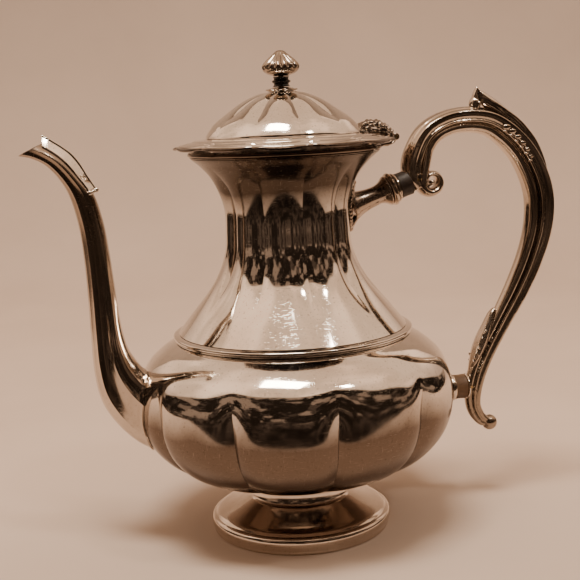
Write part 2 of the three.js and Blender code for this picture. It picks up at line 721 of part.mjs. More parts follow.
/** The short round socket on the belly. */
function lowerSocket() {
  const post = solidOf(turnedOnSeat([
    [-14, 0], [-14, 7.2], [-2.4, 7.2], [-1.6, 7.9], [-GAP, 7.9], [-GAP, 0],
  ], LOWER_SEAT));
  return geometryOf(
    post.subtract(bellySpace(GAP))
      .subtract(barrelRoom(LOWER_SEAT, LOWER_BARREL))
      .subtract(pinHoles(LOWER_SEAT, LOWER_BARREL)),
  );
}

/** The thin ring between the lower insulator and the handle. */
function lowerRing() {
  const low = LOWER_BARREL.length + GAP;
  const high = low + LOWER_RING_THICKNESS;
  const inside = LOWER_BARREL.tenonRadius + GAP;
  return turnedOnSeat([[low, inside], [high, inside], [high, 7.2], [low, 7.2], [low, inside]], LOWER_SEAT);
}

// ---------- assembly ----------

const pot = new THREE.Group();
pot.position.x = AXIS_X;

function add(name, geometry, material) {
  const mesh = new THREE.Mesh(geometry, material);
  mesh.name = name;
  pot.add(mesh);
}

function addFoot() {
  add('foot_ring', footRing(), silver());
  add('foot_dome', footDome(), silver());
  add('foot_waist', footWaist(), silver());
}

function addBody() {
  add('belly', belly(), silver());
  add('shoulder_bead', shoulderBead(), silver());
  add('neck', neck(), silver());
  add('mouth_collar', mouthCollar(), silver());
}

function addSpout() {
  add('spout_near_half', spoutHalf(-1), silver());
  add('spout_far_half', spoutHalf(1), silver());
  add('spout_band', spoutBand(), castSilver());
}

function addLid() {
  add('lid_brim', lidBrim(), silver());
  add('lid_bezel', lidBezel(), silver());
  add('lid_dome', lidDome(), silver());
  add('finial_rosette', finialRosette(), castSilver());
  add('finial_spindle', finialSpindle(), blackSpindle());
  add('finial_knob', finialKnob(), castSilver());
  add('finial_stud', finialStud(), brass());
  add('finial_washer', finialWasher(), brass());
  add('finial_nut', finialNut(), brass());
}

function addHinge() {
  add('hinge_body_leaf', hingeBodyLeaf(), castSilver());
  add('hinge_lid_leaf', hingeLidLeaf(), castSilver());
  add('hinge_pin', hingePin(), brass());
  add('hinge_ornament', hingeOrnament(), castSilver());
}

function addHandle() {
  add('handle', handle(), castSilver());
  add('thumb_leaf', thumbLeaf(), castSilver());
  add('lower_leaf', lowerLeaf(), castSilver());
  add('upper_socket', upperSocket(), castSilver());
  add('upper_ferrule', upperFerrule(), castSilver());
  add('upper_insulator', insulator(UPPER_SEAT, UPPER_BARREL), darkInsulator());
  add('lower_socket', lowerSocket(), silver());
  add('lower_insulator', insulator(LOWER_SEAT, LOWER_BARREL), brownInsulator());
  add('lower_ring', lowerRing(), silver());
}

/** The pins that hold each insulator into its socket and into the handle. */
function addCrossPins() {
  const upper = pinPlaces(UPPER_BARREL);
  const lower = pinPlaces(LOWER_BARREL);
  add('upper_socket_pin', crossPin(UPPER_SEAT, upper.body, CROSS_PIN_RADIUS, 15), brass());
  add('upper_handle_pin', crossPin(UPPER_SEAT, upper.handle, CROSS_PIN_RADIUS, 13), brass());
  add('lower_socket_pin', crossPin(LOWER_SEAT, lower.body, CROSS_PIN_RADIUS, 14), brass());
  add('lower_handle_pin', crossPin(LOWER_SEAT, lower.handle, CROSS_PIN_RADIUS, 9), brass());
}

addFoot();
addBody();
addSpout();
addLid();
addHinge();
addHandle();
addCrossPins();

const group = new THREE.Group();
group.add(pot);

export default group;
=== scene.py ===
"""A silver coffee pot in a plain studio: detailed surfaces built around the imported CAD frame.

Lengths below are millimetres measured from the pot's own axis and the table, as the CAD's are:
the spout points to -X and the handle to +X. place() turns them into the frame's metres.
"""

import json
import math

import bmesh
import bpy
import numpy as np
from mathutils import Matrix, Vector


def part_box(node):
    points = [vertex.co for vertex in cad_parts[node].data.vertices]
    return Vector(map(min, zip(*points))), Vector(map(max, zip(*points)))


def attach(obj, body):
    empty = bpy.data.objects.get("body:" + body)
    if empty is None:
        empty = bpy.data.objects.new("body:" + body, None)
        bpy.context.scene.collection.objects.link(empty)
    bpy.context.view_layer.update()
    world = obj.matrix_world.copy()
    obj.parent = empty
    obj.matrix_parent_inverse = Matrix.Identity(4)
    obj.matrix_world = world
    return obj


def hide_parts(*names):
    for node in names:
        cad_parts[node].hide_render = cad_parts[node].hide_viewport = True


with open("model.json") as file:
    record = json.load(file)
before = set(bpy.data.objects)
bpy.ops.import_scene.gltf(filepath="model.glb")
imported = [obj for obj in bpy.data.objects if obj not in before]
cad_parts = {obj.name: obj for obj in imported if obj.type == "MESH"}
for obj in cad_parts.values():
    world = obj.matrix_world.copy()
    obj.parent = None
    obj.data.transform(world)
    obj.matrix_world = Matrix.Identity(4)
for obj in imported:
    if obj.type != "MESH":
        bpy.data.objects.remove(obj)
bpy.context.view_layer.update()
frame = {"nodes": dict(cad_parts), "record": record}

MM = 0.001
foot_low, foot_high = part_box("foot_ring")
AXIS_X = (foot_low.x + foot_high.x) / 2  # metres: where the pot's axis stands in the frame

BODY_OF = {
    node: body
    for body, nodes in frame["record"]["behaviour"]["bodies"].items()
    for node in nodes
}

LOBES = 10  # lobes around the body and the lid
AROUND = LOBES * 24  # points around the lobed pieces
SHEET = 1.1  # thickness of the silver sheet, where a piece doesn't say otherwise
SEED = 7


# ---------- small numeric helpers ----------


def place(points):
    """Millimetres from the pot's axis to metres in the frame."""
    return np.asarray(points, float) * MM + np.array([AXIS_X, 0, 0])


def ramp(value, start, end):
    """Rises smoothly from 0 to 1 between start and end; falls where start is the higher one."""
    share = np.clip((np.asarray(value, float) - start) / (end - start), 0, 1)
    return share * share * (3 - 2 * share)


def curve(points, count):
    """A smooth line through the points, as evenly spaced points."""
    p = np.asarray(points, float)
    padded = np.vstack([2 * p[0] - p[1], p, 2 * p[-1] - p[-2]])
    dense = []
    for i in range(len(p) - 1):
        a, b, c, d = padded[i : i + 4]
        t = np.linspace(0, 1, 40, endpoint=False)[:, None]
        square = 2 * a - 5 * b + 4 * c - d
        cube = 3 * b - a - 3 * c + d
        dense.append(0.5 * (2 * b + (c - a) * t + square * t**2 + cube * t**3))
    dense = np.vstack([*dense, p[-1:]])
    length = np.r_[0, np.cumsum(np.linalg.norm(np.diff(dense, axis=0), axis=1))]
    at = np.linspace(0, length[-1], count)
    return np.stack([np.interp(at, length, column) for column in dense.T], 1)


def offset(profile, distance):
    """Moves a line of (radius, height) points to its left; points on the axis stay on it."""
    p = np.asarray(profile, float)
    along = np.gradient(p, axis=0)
    along /= np.linalg.norm(along, axis=1)[:, None]
    moved = p + distance * np.stack([-along[:, 1], along[:, 0]], 1)
    moved[p[:, 0] < 1e-6, 0] = 0
    return moved


def shell(outside, thickness=SHEET):
    """The closed profile of a sheet whose outside is the given line."""
    inside = offset(outside, thickness)
    inside[0, 1], inside[-1, 1] = outside[0][1], outside[-1][1]
    return np.vstack([outside, inside[::-1]])


def crease(angle, count):
    """0 on the middle of each of the equal lobes, 1 in the crease between two."""
    turn = angle * count / (2 * math.pi)
    return 2 * np.abs(turn - np.round(turn))


# ---------- meshes ----------


def build(name, parts, nodes, material, sharp=42):
    """One piece from (points, faces) parts in mm. It replaces its CAD nodes and rides on their body."""
    points = np.vstack([p for p, _ in parts])
    faces, start = [], 0
    for p, part_faces in parts:
        faces += [[i + start for i in face] for face in part_faces]
        start += len(p)
    mesh = bpy.data.meshes.new(name)
    mesh.from_pydata(place(points).tolist(), [], faces)
    shape = bmesh.new()
    shape.from_mesh(mesh)
    bmesh.ops.remove_doubles(shape, verts=shape.verts, dist=1e-6)
    bmesh.ops.dissolve_degenerate(shape, edges=shape.edges, dist=1e-7)
    bmesh.ops.recalc_face_normals(shape, faces=shape.faces)
    shape.to_mesh(mesh)
    shape.free()
    mesh.shade_smooth()
    mesh.set_sharp_from_angle(angle=math.radians(sharp))
    piece = bpy.data.objects.new(name, mesh)
    bpy.context.scene.collection.objects.link(piece)
    mesh.materials.append(material)
    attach(piece, BODY_OF[nodes[0]])
    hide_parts(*nodes)
    return piece


def grid(rows, loop_rows=False, caps=True):
    """Faces over rows of points that each close on themselves."""
    rows = np.asarray(rows, float)
    count, around = rows.shape[:2]
    faces = []
    for i in range(count if loop_rows else count - 1):
        low, high = i * around, ((i + 1) % count) * around
        for j in range(around):
            k = (j + 1) % around
            faces.append([low + j, low + k, high + k, high + j])
    if caps and not loop_rows:
        last = (count - 1) * around
        faces.append(list(range(around))[::-1])
        faces.append([last + j for j in range(around)])
    return rows.reshape(-1, 3), faces


def turned(profile, around=AROUND, shape=None, loop=True):
    """A turned piece from a profile of (radius, height); shape(angle, radius, height) bends it."""
    p = np.asarray(profile, float)
    angle = np.arange(around) * 2 * math.pi / around
    radius, height = np.repeat(p[:, :1], around, 1), np.repeat(p[:, 1:2], around, 1)
    turn = np.repeat(angle[None], len(p), 0)
    if shape is not None:
        radius, height = shape(turn, radius, height)
    rows = np.stack([radius * np.cos(turn), radius * np.sin(turn), height], -1)
    return grid(rows, loop_rows=loop, caps=False)


def on_seat(part, seat):
    """Lays a part that was turned about Z along a handle seat's axis."""
    points, faces = part
    x, z, tilt = seat
    along = np.array([math.cos(tilt), 0, math.sin(tilt)])
    up = np.array([-math.sin(tilt), 0, math.cos(tilt)])
    side = np.array([0, 1.0, 0])
    moved = points[:, 2:3] * along + points[:, 0:1] * up + points[:, 1:2] * side
    return moved + np.array([x, 0, z]), faces


def sweep(line, half_in, half_across, section=None, around=48):
    """A bar along a line in the X-Z plane. section(angle, share) scales it; angle 0 is its outer side."""
    line = np.asarray(line, float)
    along = np.gradient(line, axis=0)
    along /= np.linalg.norm(along, axis=1)[:, None]
    outward = np.stack([-along[:, 1], along[:, 0]], 1)
    angle = np.arange(around) * 2 * math.pi / around
    share = np.linspace(0, 1, len(line))
    scale = np.ones((len(line), around)) if section is None else section(angle[None], share[:, None])
    reach = scale * np.asarray(half_in)[:, None] * np.cos(angle)[None]
    across = scale * np.asarray(half_across)[:, None] * np.sin(angle)[None]
    x = line[:, :1] + outward[:, :1] * reach
    z = line[:, 1:2] + outward[:, 1:2] * reach
    return grid(np.stack([x, across, z], -1))


def ball(centre, radius, squash=(1, 1, 1), steps=14):
    """A round lump."""
    polar = np.linspace(0, math.pi, steps)
    turn = np.arange(2 * steps) * math.pi / steps
    x = np.sin(polar)[:, None] * np.cos(turn)[None]
    y = np.sin(polar)[:, None] * np.sin(turn)[None]
    z = np.repeat(np.cos(polar)[:, None], 2 * steps, 1)
    rows = np.stack([x, y, z], -1) * radius * np.asarray(squash) + np.asarray(centre)
    return grid(rows, caps=False)


def cast(piece, voxel=0.32, smooth_steps=3):
    """Melts overlapping lumps into one cast surface."""
    melt = piece.modifiers.new("melt", "REMESH")
    melt.mode = "VOXEL"
    melt.voxel_size = voxel * MM
    melt.use_smooth_shade = True
    soften = piece.modifiers.new("soften", "SMOOTH")
    soften.iterations = smooth_steps
    soften.factor = 0.5
    bpy.context.view_layer.update()
    evaluated = piece.evaluated_get(bpy.context.evaluated_depsgraph_get())
    mesh = bpy.data.meshes.new_from_object(evaluated)
    piece.modifiers.clear()
    mesh.name = piece.name
    piece.data = mesh
    mesh.shade_smooth()
    return piece


# ---------- materials ----------


class Nodes:
    """A short way to write a node tree."""

    def __init__(self, tree, coordinates):
        self.tree = tree
        self.coords = tree.nodes.new("ShaderNodeTexCoord").outputs[coordinates]

    def feed(self, socket, value):
        """Links another node's output to a socket, or sets the socket's own value."""
        if isinstance(value, bpy.types.NodeSocket):
            self.tree.links.new(value, socket)
        else:
            socket.default_value = value

    def add(self, kind, inputs=(), **settings):
        node = self.tree.nodes.new("ShaderNode" + kind)
        for key, value in settings.items():
            setattr(node, key, value)
        for key, value in dict(inputs).items():
            self.feed(node.inputs[key], value)
        return node

    def noise(self, scale, detail=4, roughness=0.55, distortion=0.0, stretch=None):
        vector = self.coords
        if stretch is not None:
            vector = self.add("Mapping", {"Vector": self.coords, "Scale": stretch}).outputs["Vector"]
        inputs = {"Vector": vector, "Scale": scale, "Detail": detail}
        inputs |= {"Roughness": roughness, "Distortion": distortion}
        return self.add("TexNoise", inputs).outputs["Fac"]

    def remap(self, value, low, high, to_low=0.0, to_high=1.0, **settings):
        inputs = {"Value": value, "From Min": low, "From Max": high, "To Min": to_low, "To Max": to_high}
        return self.add("MapRange", inputs, **settings).outputs[0]

    def math(self, operation, a, b):
        return self.add("Math", {0: a, 1: b}, operation=operation).outputs[0]

    def blend(self, factor, a, b):
        """Colour a where the factor is 0, colour b where it is 1."""
        return self.add("Mix", {0: factor, 6: a, 7: b}, data_type="RGBA").outputs[2]

    def bump(self, height, strength, distance, normal=None):
        inputs = {"Height": height, "Strength": strength, "Distance": distance}
        if normal is not None:
            inputs["Normal"] = normal
        return self.add("Bump", inputs).outputs["Normal"]


class Paint(Nodes):
    """The node tree of a new material."""

    def __init__(self, name):
        self.material = bpy.data.materials.new(name)
        self.material.use_nodes = True
        super().__init__(self.material.node_tree, "Object")
        self.shader = self.tree.nodes["Principled BSDF"]

    def to_shader(self, socket, value):
        self.feed(self.shader.inputs[socket], value)


def scratches(n):
    """Fine random scratches from wiping and polishing, running two ways."""
    one = n.noise(260, 2, 0.5, stretch=(1, 1, 14))
    two = n.noise(210, 2, 0.5, stretch=(9, 1.3, 1))
    first = n.remap(one, 0.62, 0.72)
    second = n.remap(two, 0.64, 0.74)
    return n.math("MAXIMUM", first, second)


def silver(name, bright, dull, tarnish, rough, tarnish_and_shade_zone=None, worn=0.0):
    """Silver plate: tarnish in clouds and specks, wiped scratches, a slightly uneven surface.

    rough is the roughness of the smoothest and the roughest patches. A height zone (from height, to height,
    colour) darkens the colour towards its second height, in metres, with denser tarnish specks there; on the
    belly, neck and brim that darkening is painted shade. worn darkens the hollows.
    """
    n = Paint(name)
    clouds = n.noise(16, 5, 0.6, 0.6)
    specks = n.remap(n.noise(900, 3, 0.6), 0.6, 0.72)
    stain = n.remap(clouds, 0.44, 0.72, 0.0, 0.6)
    colour = n.blend(stain, bright, dull)
    colour = n.blend(n.math("MULTIPLY", specks, 0.45), colour, tarnish)
    marks = scratches(n)
    roughness = n.remap(n.noise(34, 5, 0.65, 0.4), 0.35, 0.75, rough[0], rough[1])
    if tarnish_and_shade_zone is not None:
        # Darker by height towards the zone's end: painted shade on the belly, neck and brim; the denser
        # specks there are tarnish.
        start, end, tarnish_and_shade_colour = tarnish_and_shade_zone
        height = n.add("SeparateXYZ", {"Vector": n.coords}).outputs["Z"]
        wander = 0.2 * (end - start)
        uneven_height = n.math("ADD", height, n.remap(clouds, 0.3, 0.7, -wander, wander))
        depth = n.remap(uneven_height, start, end)
        colour = n.blend(depth, colour, tarnish_and_shade_colour)
        colour = n.blend(n.math("MULTIPLY", n.math("MULTIPLY", specks, depth), 0.6), colour, BLACKENED)
        colour = n.blend(n.math("MULTIPLY", n.math("MULTIPLY", marks, depth), 0.2), colour, dull)
        roughness = n.math("ADD", roughness, n.math("MULTIPLY", depth, 0.1))
    if worn:
        point = n.add("NewGeometry").outputs["Pointiness"]
        hollow = n.remap(point, 0.5, 0.44, 0.0, worn)
        colour = n.blend(hollow, colour, tarnish)
        roughness = n.math("ADD", roughness, n.math("MULTIPLY", hollow, 0.2))
    n.to_shader("Base Color", colour)
    n.to_shader("Metallic", 1.0)
    roughness = n.math("ADD", roughness, n.math("MULTIPLY", marks, 0.1))
    roughness = n.math("ADD", roughness, n.math("MULTIPLY", stain, 0.04))
    n.to_shader("Roughness", roughness)
    uneven = n.bump(n.noise(26, 2, 0.4), 0.25, 0.0006)
    fine = n.bump(marks, 0.12, 0.00004, uneven)
    n.to_shader("Normal", fine)
    return n.material


def composition(name, dark, light, rough):
    """The insulators' old composition: streaky, satin, with fine pits and dulled edges."""
    n = Paint(name)
    streaks = n.noise(120, 6, 0.65, 0.8, stretch=(0.25, 1, 1))
    colour = n.blend(n.remap(streaks, 0.35, 0.7), dark, light)
    edge = n.remap(n.add("NewGeometry").outputs["Pointiness"], 0.51, 0.56, 0.0, 0.6)
    colour = n.blend(edge, colour, light)
    n.to_shader("Base Color", colour)
    n.to_shader("Roughness", n.remap(n.noise(240, 4), 0.3, 0.7, rough[0], rough[1]))
    pits = n.bump(n.noise(700, 4, 0.6), 0.35, 0.00012)
    n.to_shader("Normal", pits)
    return n.material


def brass(name):
    """Plain turned brass, dulled and finely grooved by the lathe."""
    n = Paint(name)
    colour = n.blend(n.remap(n.noise(90, 4), 0.4, 0.7), (0.66, 0.48, 0.22, 1), (0.34, 0.24, 0.12, 1))
    n.to_shader("Base Color", colour)
    n.to_shader("Metallic", 1.0)
    n.to_shader("Roughness", n.remap(n.noise(300, 3), 0.3, 0.7, 0.22, 0.42))
    n.to_shader("Normal", n.bump(n.noise(900, 2, 0.5, stretch=(1, 0.1, 1)), 0.3, 0.00008))
    return n.material


BRIGHT = (0.90, 0.85, 0.785, 1)
DULL = (0.58, 0.49, 0.41, 1)
BROWN = (0.22, 0.14, 0.085, 1)
BLACKENED = (0.05, 0.034, 0.024, 1)

POLISHED = (0.03, 0.12)
plate = silver("silver_plate", BRIGHT, DULL, BROWN, (0.03, 0.14))
# Painted shade: the lower belly darkens towards the table, standing in for the dim reflection of the shaded
# table in front of the pot; the specks there are tarnish.
belly_plate_painted_shade = silver(
    "silver_plate_belly_painted_shade", BRIGHT, DULL, BROWN, POLISHED, tarnish_and_shade_zone=(0.088, 0.07, (0.17, 0.13, 0.104, 1)),
)
# Painted shade: the upper neck darkens beneath the rim.
neck_plate_painted_shade = silver(
    "silver_plate_neck_painted_shade", BRIGHT, DULL, BROWN, POLISHED, tarnish_and_shade_zone=(0.172, 0.192, (0.08, 0.062, 0.049, 1)),
)
# Painted shade: the brim's underside and lower edge are darkened.
brim_plate_painted_shade = silver(
    "silver_plate_brim_painted_shade", BRIGHT, DULL, BROWN, POLISHED, tarnish_and_shade_zone=(0.2167, 0.2157, (0.08, 0.06, 0.047, 1)),
)
# Painted shade: the mouth collar is painted dark all over, as the shade under the brim.
collar_plate_painted_shade = silver(
    "silver_plate_collar_painted_shade", (0.2, 0.16, 0.13, 1), (0.1, 0.076, 0.058, 1), BROWN, (0.04, 0.14),
)
plate_foot = silver(
    "silver_plate_foot", (0.74, 0.66, 0.58, 1), (0.42, 0.32, 0.25, 1), BROWN, (0.05, 0.18),
)
plate_spout = silver(
    "silver_plate_spout", (0.70, 0.62, 0.54, 1), (0.40, 0.31, 0.25, 1), BROWN, (0.05, 0.16),
    tarnish_and_shade_zone=(0.12, 0.19, (0.36, 0.295, 0.24, 1)), worn=0.6,
)
cast_plate = silver(
    "cast_silver", (0.64, 0.56, 0.48, 1), (0.32, 0.25, 0.19, 1), BLACKENED, (0.05, 0.18),
    tarnish_and_shade_zone=(0.12, 0.06, (0.36, 0.295, 0.235, 1)), worn=0.9,
)
cast_knob = silver(
    "cast_silver_knob", (0.40, 0.335, 0.275, 1), (0.17, 0.13, 0.1, 1), BLACKENED, (0.1, 0.28), worn=1.0,
)
cast_dark = silver(
    "cast_silver_dark", (0.55, 0.47, 0.40, 1), (0.26, 0.2, 0.15, 1), BLACKENED, (0.12, 0.32), worn=1.0,
)
cast_black = silver(
    "cast_silver_blackened", (0.26, 0.21, 0.17, 1), (0.09, 0.068, 0.05, 1), BLACKENED, (0.1, 0.3), worn=1.0,
)
insulator_dark = composition(
    "insulator_dark", (0.012, 0.008, 0.006, 1), (0.05, 0.032, 0.022, 1), (0.35, 0.6),
)
insulator_brown = composition(
    "insulator_brown", (0.06, 0.03, 0.016, 1), (0.2, 0.115, 0.06, 1), (0.4, 0.65),
)
spindle_black = composition(
    "spindle_black", (0.004, 0.003, 0.003, 1), (0.02, 0.015, 0.012, 1), (0.18, 0.35),
)
plain_brass = brass("turned_brass")


# ---------- foot ----------

SKIRT_LINE = [
    [48.4, 9.6], [46.9, 10.9], [44.6, 11.9], [41, 12.9], [37, 14.2], [33, 15.8], [30, 17.2], [28.1, 18.25],
]

ring_outside = np.vstack([
    [[46.6, 0.0], [49.2, 0.0]],
    curve([[49.4, 0.15], [49.7, 0.8], [49.65, 1.7]], 6),
    curve([[49.75, 2.2], [50.4, 3.6], [50.85, 5.2], [50.9, 6.5], [50.6, 7.7], [49.9, 8.7], [48.7, 9.4]], 30),
    [[46.6, 9.4]],
])
build("foot_ring_shell", [turned(ring_outside, 192)], ["foot_ring"], plate_foot)

skirt = np.vstack([
    [[48.6, 9.5]],
    curve(SKIRT_LINE, 60),
    [[24.5, 18.3]],
])
build("foot_skirt", [turned(shell(skirt, 1.0), 192)], ["foot_dome"], plate_foot)

waist = curve([[28.6, 18.6], [27.4, 19.9], [26.7, 22.2], [26.5, 24.6], [27, 27.2], [28.5, 29.8]], 22)
build("foot_waist_shell", [turned(shell(waist, 1.8), 160)], ["foot_waist"], plate_foot)


# ---------- body ----------

BELLY_LINE = [
    [0, 30.2], [18, 30.25], [32, 30.9], [46, 32.9], [60, 37.1], [72.5, 44.2], [82, 54.2],
    [87.0, 65.5], [88.3, 77], [86.8, 88], [81.5, 98], [73.4, 105.4], [65.4, 110.2],
]
NECK_LINE = [
    [63, 114.6], [54.6, 125.4], [42.6, 141.5], [36.2, 156], [34.8, 169], [35, 183],
    [39.8, 196.5], [45.8, 204.6], [51.2, 209.4],
]


def belly_shape(angle, radius, height):
    """Draws narrow creases in between the belly's flat lobes, fading out under the bead and at the bottom."""
    depth = 0.05 * ramp(height, 100, 74) * ramp(height, 31, 37)
    return radius * (1 - depth * crease(angle, LOBES) ** 4), height


def neck_shape(angle, radius, height):
    """Round flutes that fade out at the shoulder and at the mouth."""
    depth = 0.055 * ramp(height, 120, 150) * ramp(height, 208, 190)
    return radius * (1 - depth * crease(angle, LOBES) ** 2), height


belly_outside = curve(BELLY_LINE, 110)
build(
    "belly_shell", [turned(shell(belly_outside), AROUND, belly_shape, loop=False)], ["belly"],
    belly_plate_painted_shade, sharp=20,
)

bead = np.vstack([
    [[61.5, 110.5], [65.0, 110.5]],
    curve([[65.3, 110.6], [65.6, 110.9], [65.4, 111.3]], 5),
    curve([[65.3, 111.4], [66.1, 111.9], [66.3, 112.7], [66.0, 113.5], [65.2, 113.9]], 14),
    [[64.6, 114.3], [61.5, 114.3]],
])
build("shoulder_bead_ring", [turned(bead, 192)], ["shoulder_bead"], plate)

neck_outside = curve(NECK_LINE, 110)
build(
    "neck_shell", [turned(shell(neck_outside), AROUND, neck_shape)], ["neck"],
    neck_plate_painted_shade, sharp=14,
)

collar = np.vstack([
    [[47.5, 209.7], [51.2, 209.7]],
    curve([[51.6, 209.8], [51.9, 210.1], [51.7, 210.4]], 5),
    curve([[51.8, 210.5], [52.7, 211.0], [52.9, 211.7], [52.6, 212.5], [51.9, 213.0]], 14),
    [[47.5, 213.0]],
])
build("mouth_collar_ring", [turned(collar, 192)], ["mouth_collar"], collar_plate_painted_shade)


# ---------- spout ----------

# Sections from the root to the lip: the lowest point, the highest point and half the width across.
SPOUT = [
    [-73, 49.5, -77, 91, 14.5], [-82, 53.3, -84.4, 99, 14.5], [-91.5, 59.8, -88.4, 104.6, 14],
    [-101, 70.5, -91.9, 111.4, 12.8], [-107.8, 83, -94, 120, 11.2], [-110.6, 99, -95.2, 129, 9.8],
    [-111, 118, -96, 138.5, 8.8], [-111, 138, -96.9, 150, 8.2], [-111.4, 158, -98, 163, 7.9],
    [-112.8, 177, -99.9, 179, 7.6], [-116.2, 193, -103.8, 194.2, 7.4], [-120.8, 202.8, -110.4, 204.4, 7.2],
    [-127.5, 210.8, -117.2, 213, 7], [-134.5, 214.7, -123.6, 218.6, 6.6], [-141, 216.4, -128.8, 222, 5.6],
]
SPOUT_ROWS = 150
SPOUT_AROUND = 120
SPOUT_STEPS = 500  # along the whole spout, before its rows are cut off at the belly
SPOUT_SHEET = 1.0
SEAM = 0.16  # half the gap between the two halves
ROOT_GAP = 0.15  # between the belly and the spout's root
ROOT_TOP = 112  # the root lies below this height


def flute(side, start, end):
    """A hollow between two sharp ribs, 0 to 1 deep."""
    return np.sin(math.pi * np.clip((side - start) / (end - start), 0, 1)) ** 0.85


def rib_section(turn, share):
    """Scales the spout's section: a deep flute along each side, more of them behind it near the root."""
    side = np.abs((np.degrees(turn) + 180) % 360 - 180)
    root = 1 - ramp(share, 0.3, 0.62)
    hollow = 0.16 * flute(side, 48, 96) * (0.7 + 0.3 * ramp(share, 0.1, 0.3))
    hollow = hollow + 0.085 * flute(side, 96, 126) * root + 0.07 * flute(side, 126, 153) * root
    hollow = hollow + 0.05 * flute(side, 24, 48) * ramp(share, 0.12, 0.3)
    return 1 - hollow


def spout_points(inset):
    """Dense rows of points along the spout; turn 0 is its front edge and 180 degrees its back."""
    sections = curve(SPOUT, SPOUT_STEPS)
    turn = np.arange(SPOUT_AROUND) * 2 * math.pi / SPOUT_AROUND
    scale = rib_section(turn[None], np.linspace(0, 1, SPOUT_STEPS)[:, None])
    low, high, half = sections[:, 0:2], sections[:, 2:4], sections[:, 4]
    middle, up = (low + high) / 2, (high - low) / 2
    length = np.linalg.norm(up, axis=1)
    up = up * ((length - inset) / length)[:, None]
    reach = -np.cos(turn)[None] * scale
    x = middle[:, :1] + up[:, :1] * reach
    z = middle[:, 1:] + up[:, 1:] * reach
    y = (half - inset)[:, None] * np.sin(turn)[None] * scale
    return np.stack([x, y, z], -1), middle


def belly_wall(points):
    """How far points stand outside the belly."""
    radius = np.hypot(points[..., 0], points[..., 1])
    turn = np.arctan2(points[..., 1], points[..., 0])
    profile = np.interp(points[..., 2], belly_outside[:, 1], belly_outside[:, 0])
    wall, _ = belly_shape(turn, profile, points[..., 2])
    return radius - wall


def spout_rows(inset):
    """The spout's rows from where each of its edges leaves the belly to its lip."""
    points, middle = spout_points(inset)
    out = belly_wall(points) - ROOT_GAP
    rows = np.zeros((SPOUT_ROWS, SPOUT_AROUND, 3))
    step = np.linspace(0, 1, SPOUT_ROWS)
    number = np.arange(SPOUT_STEPS)
    for j in range(SPOUT_AROUND):
        last = np.nonzero((out[:, j] < 0) & (points[:, j, 2] < ROOT_TOP))[0][-1]
        start = last + out[last, j] / (out[last, j] - out[last + 1, j])
        at = start + (SPOUT_STEPS - 1 - start) * step
        for axis in range(3):
            rows[:, j, axis] = np.interp(at, number, points[:, j, axis])
        if inset == 0:
            mid_x, mid_z = (np.interp(at, number, middle[:, k]) for k in (0, 1))
            away = rows[:, j] - np.stack([mid_x, np.zeros(SPOUT_ROWS), mid_z], 1)
            away /= np.linalg.norm(away, axis=1)[:, None]
            moulding = 0.75 * np.exp(-(((step - 0.008) / 0.0065) ** 2))
            rows[:, j] += away * moulding[:, None]
    return rows


def spout_half(side):
    """The outer and inner walls of one stamped half, ending on the belly."""
    half = SPOUT_AROUND // 2
    pick = list(range(half + 1)) if side > 0 else [0] + list(range(SPOUT_AROUND - 1, half - 1, -1))
    walls = []
    for inset in (0, SPOUT_SHEET):
        rows = spout_rows(inset)[:, pick]
        rows[..., 1] = np.where(np.abs(rows[..., 1]) < SEAM, SEAM * side, rows[..., 1])
        walls.append(rows)
    outer, inner = walls
    return grid(np.concatenate([outer, inner[:, ::-1]], 1), caps=False), half + 1


def spout_shell(side):
    """One half with its two ends closed."""
    (points, faces), count = spout_half(side)
    around = 2 * count
    last = (SPOUT_ROWS - 1) * around
    for j in range(count - 1):
        faces.append([j, j + 1, around - 2 - j, around - 1 - j])
        faces.append([last + j, last + j + 1, last + around - 2 - j, last + around - 1 - j])
    return points, faces


build("spout_near", [spout_shell(-1)], ["spout_near_half"], plate_spout, sharp=24)
build("spout_far", [spout_shell(1)], ["spout_far_half"], plate_spout, sharp=24)

# Across the crest's side: how far up it is, and how far the surface stands out there.
CREST_SECTION = [
    (0, 0.1), (0.03, 0.4), (0.08, 0.5), (0.12, 0.3), (0.16, 0), (0.5, -0.12), (0.82, -0.1),
    (0.87, 0.16), (0.92, 0.34), (0.97, 0.32), (1.0, 0.2),
]
CREST_LOW, CREST_HIGH = 195.8, 220.9  # heights of the spout's top edge where the crest starts and ends
CREST_EDGE = 0.9  # half the crest's width along its top


def crest():
    """The crest over the spout's upper edge: sloping sides with a fine bead at their foot and top."""
    points, _ = spout_points(0)
    tops = points[:, SPOUT_AROUND // 2]
    slope = np.gradient(tops, axis=0)
    turn = np.arange(SPOUT_AROUND) * 2 * math.pi / SPOUT_AROUND
    rows = []
    for height in np.concatenate([np.linspace(CREST_LOW, 219, 52), np.linspace(219.4, CREST_HIGH, 5)]):
        i = int(np.searchsorted(tops[:, 2], height))
        share = (height - CREST_LOW) / (CREST_HIGH - CREST_LOW)
        spread = math.radians(50 - 8 * share)
        edge = np.array([np.interp(math.pi - spread, turn, points[i, :, k]) for k in range(3)])
        along = slope[i] / np.linalg.norm(slope[i])
        out = np.array([along[2], 0, -along[0]])
        foot = np.array([edge[0], 0, edge[2]])
        top = tops[i] + out * (2.5 + 2.2 * ramp(share, 0.0, 0.7))
        top += (foot + np.array([0.6, 0, 6.2]) - top) * ramp(share, 0.7, 1)
        half_edge = abs(edge[1]) + 0.2
        loop = []
        for s, stand in CREST_SECTION:
            point = foot + (top - foot) * s
            point[1] = -((half_edge - CREST_EDGE) * (1 - s) + CREST_EDGE + stand * 0.7)
            loop.append(point + out * stand * 0.6)
        loop += [p * np.array([1, -1, 1]) for p in loop[::-1]]
        inner = foot - out * 0.5
        aside = np.array([0, half_edge - CREST_EDGE, 0])
        loop += [inner + aside, inner - aside]
        rows.append(loop)
    return grid(rows), rows[0]


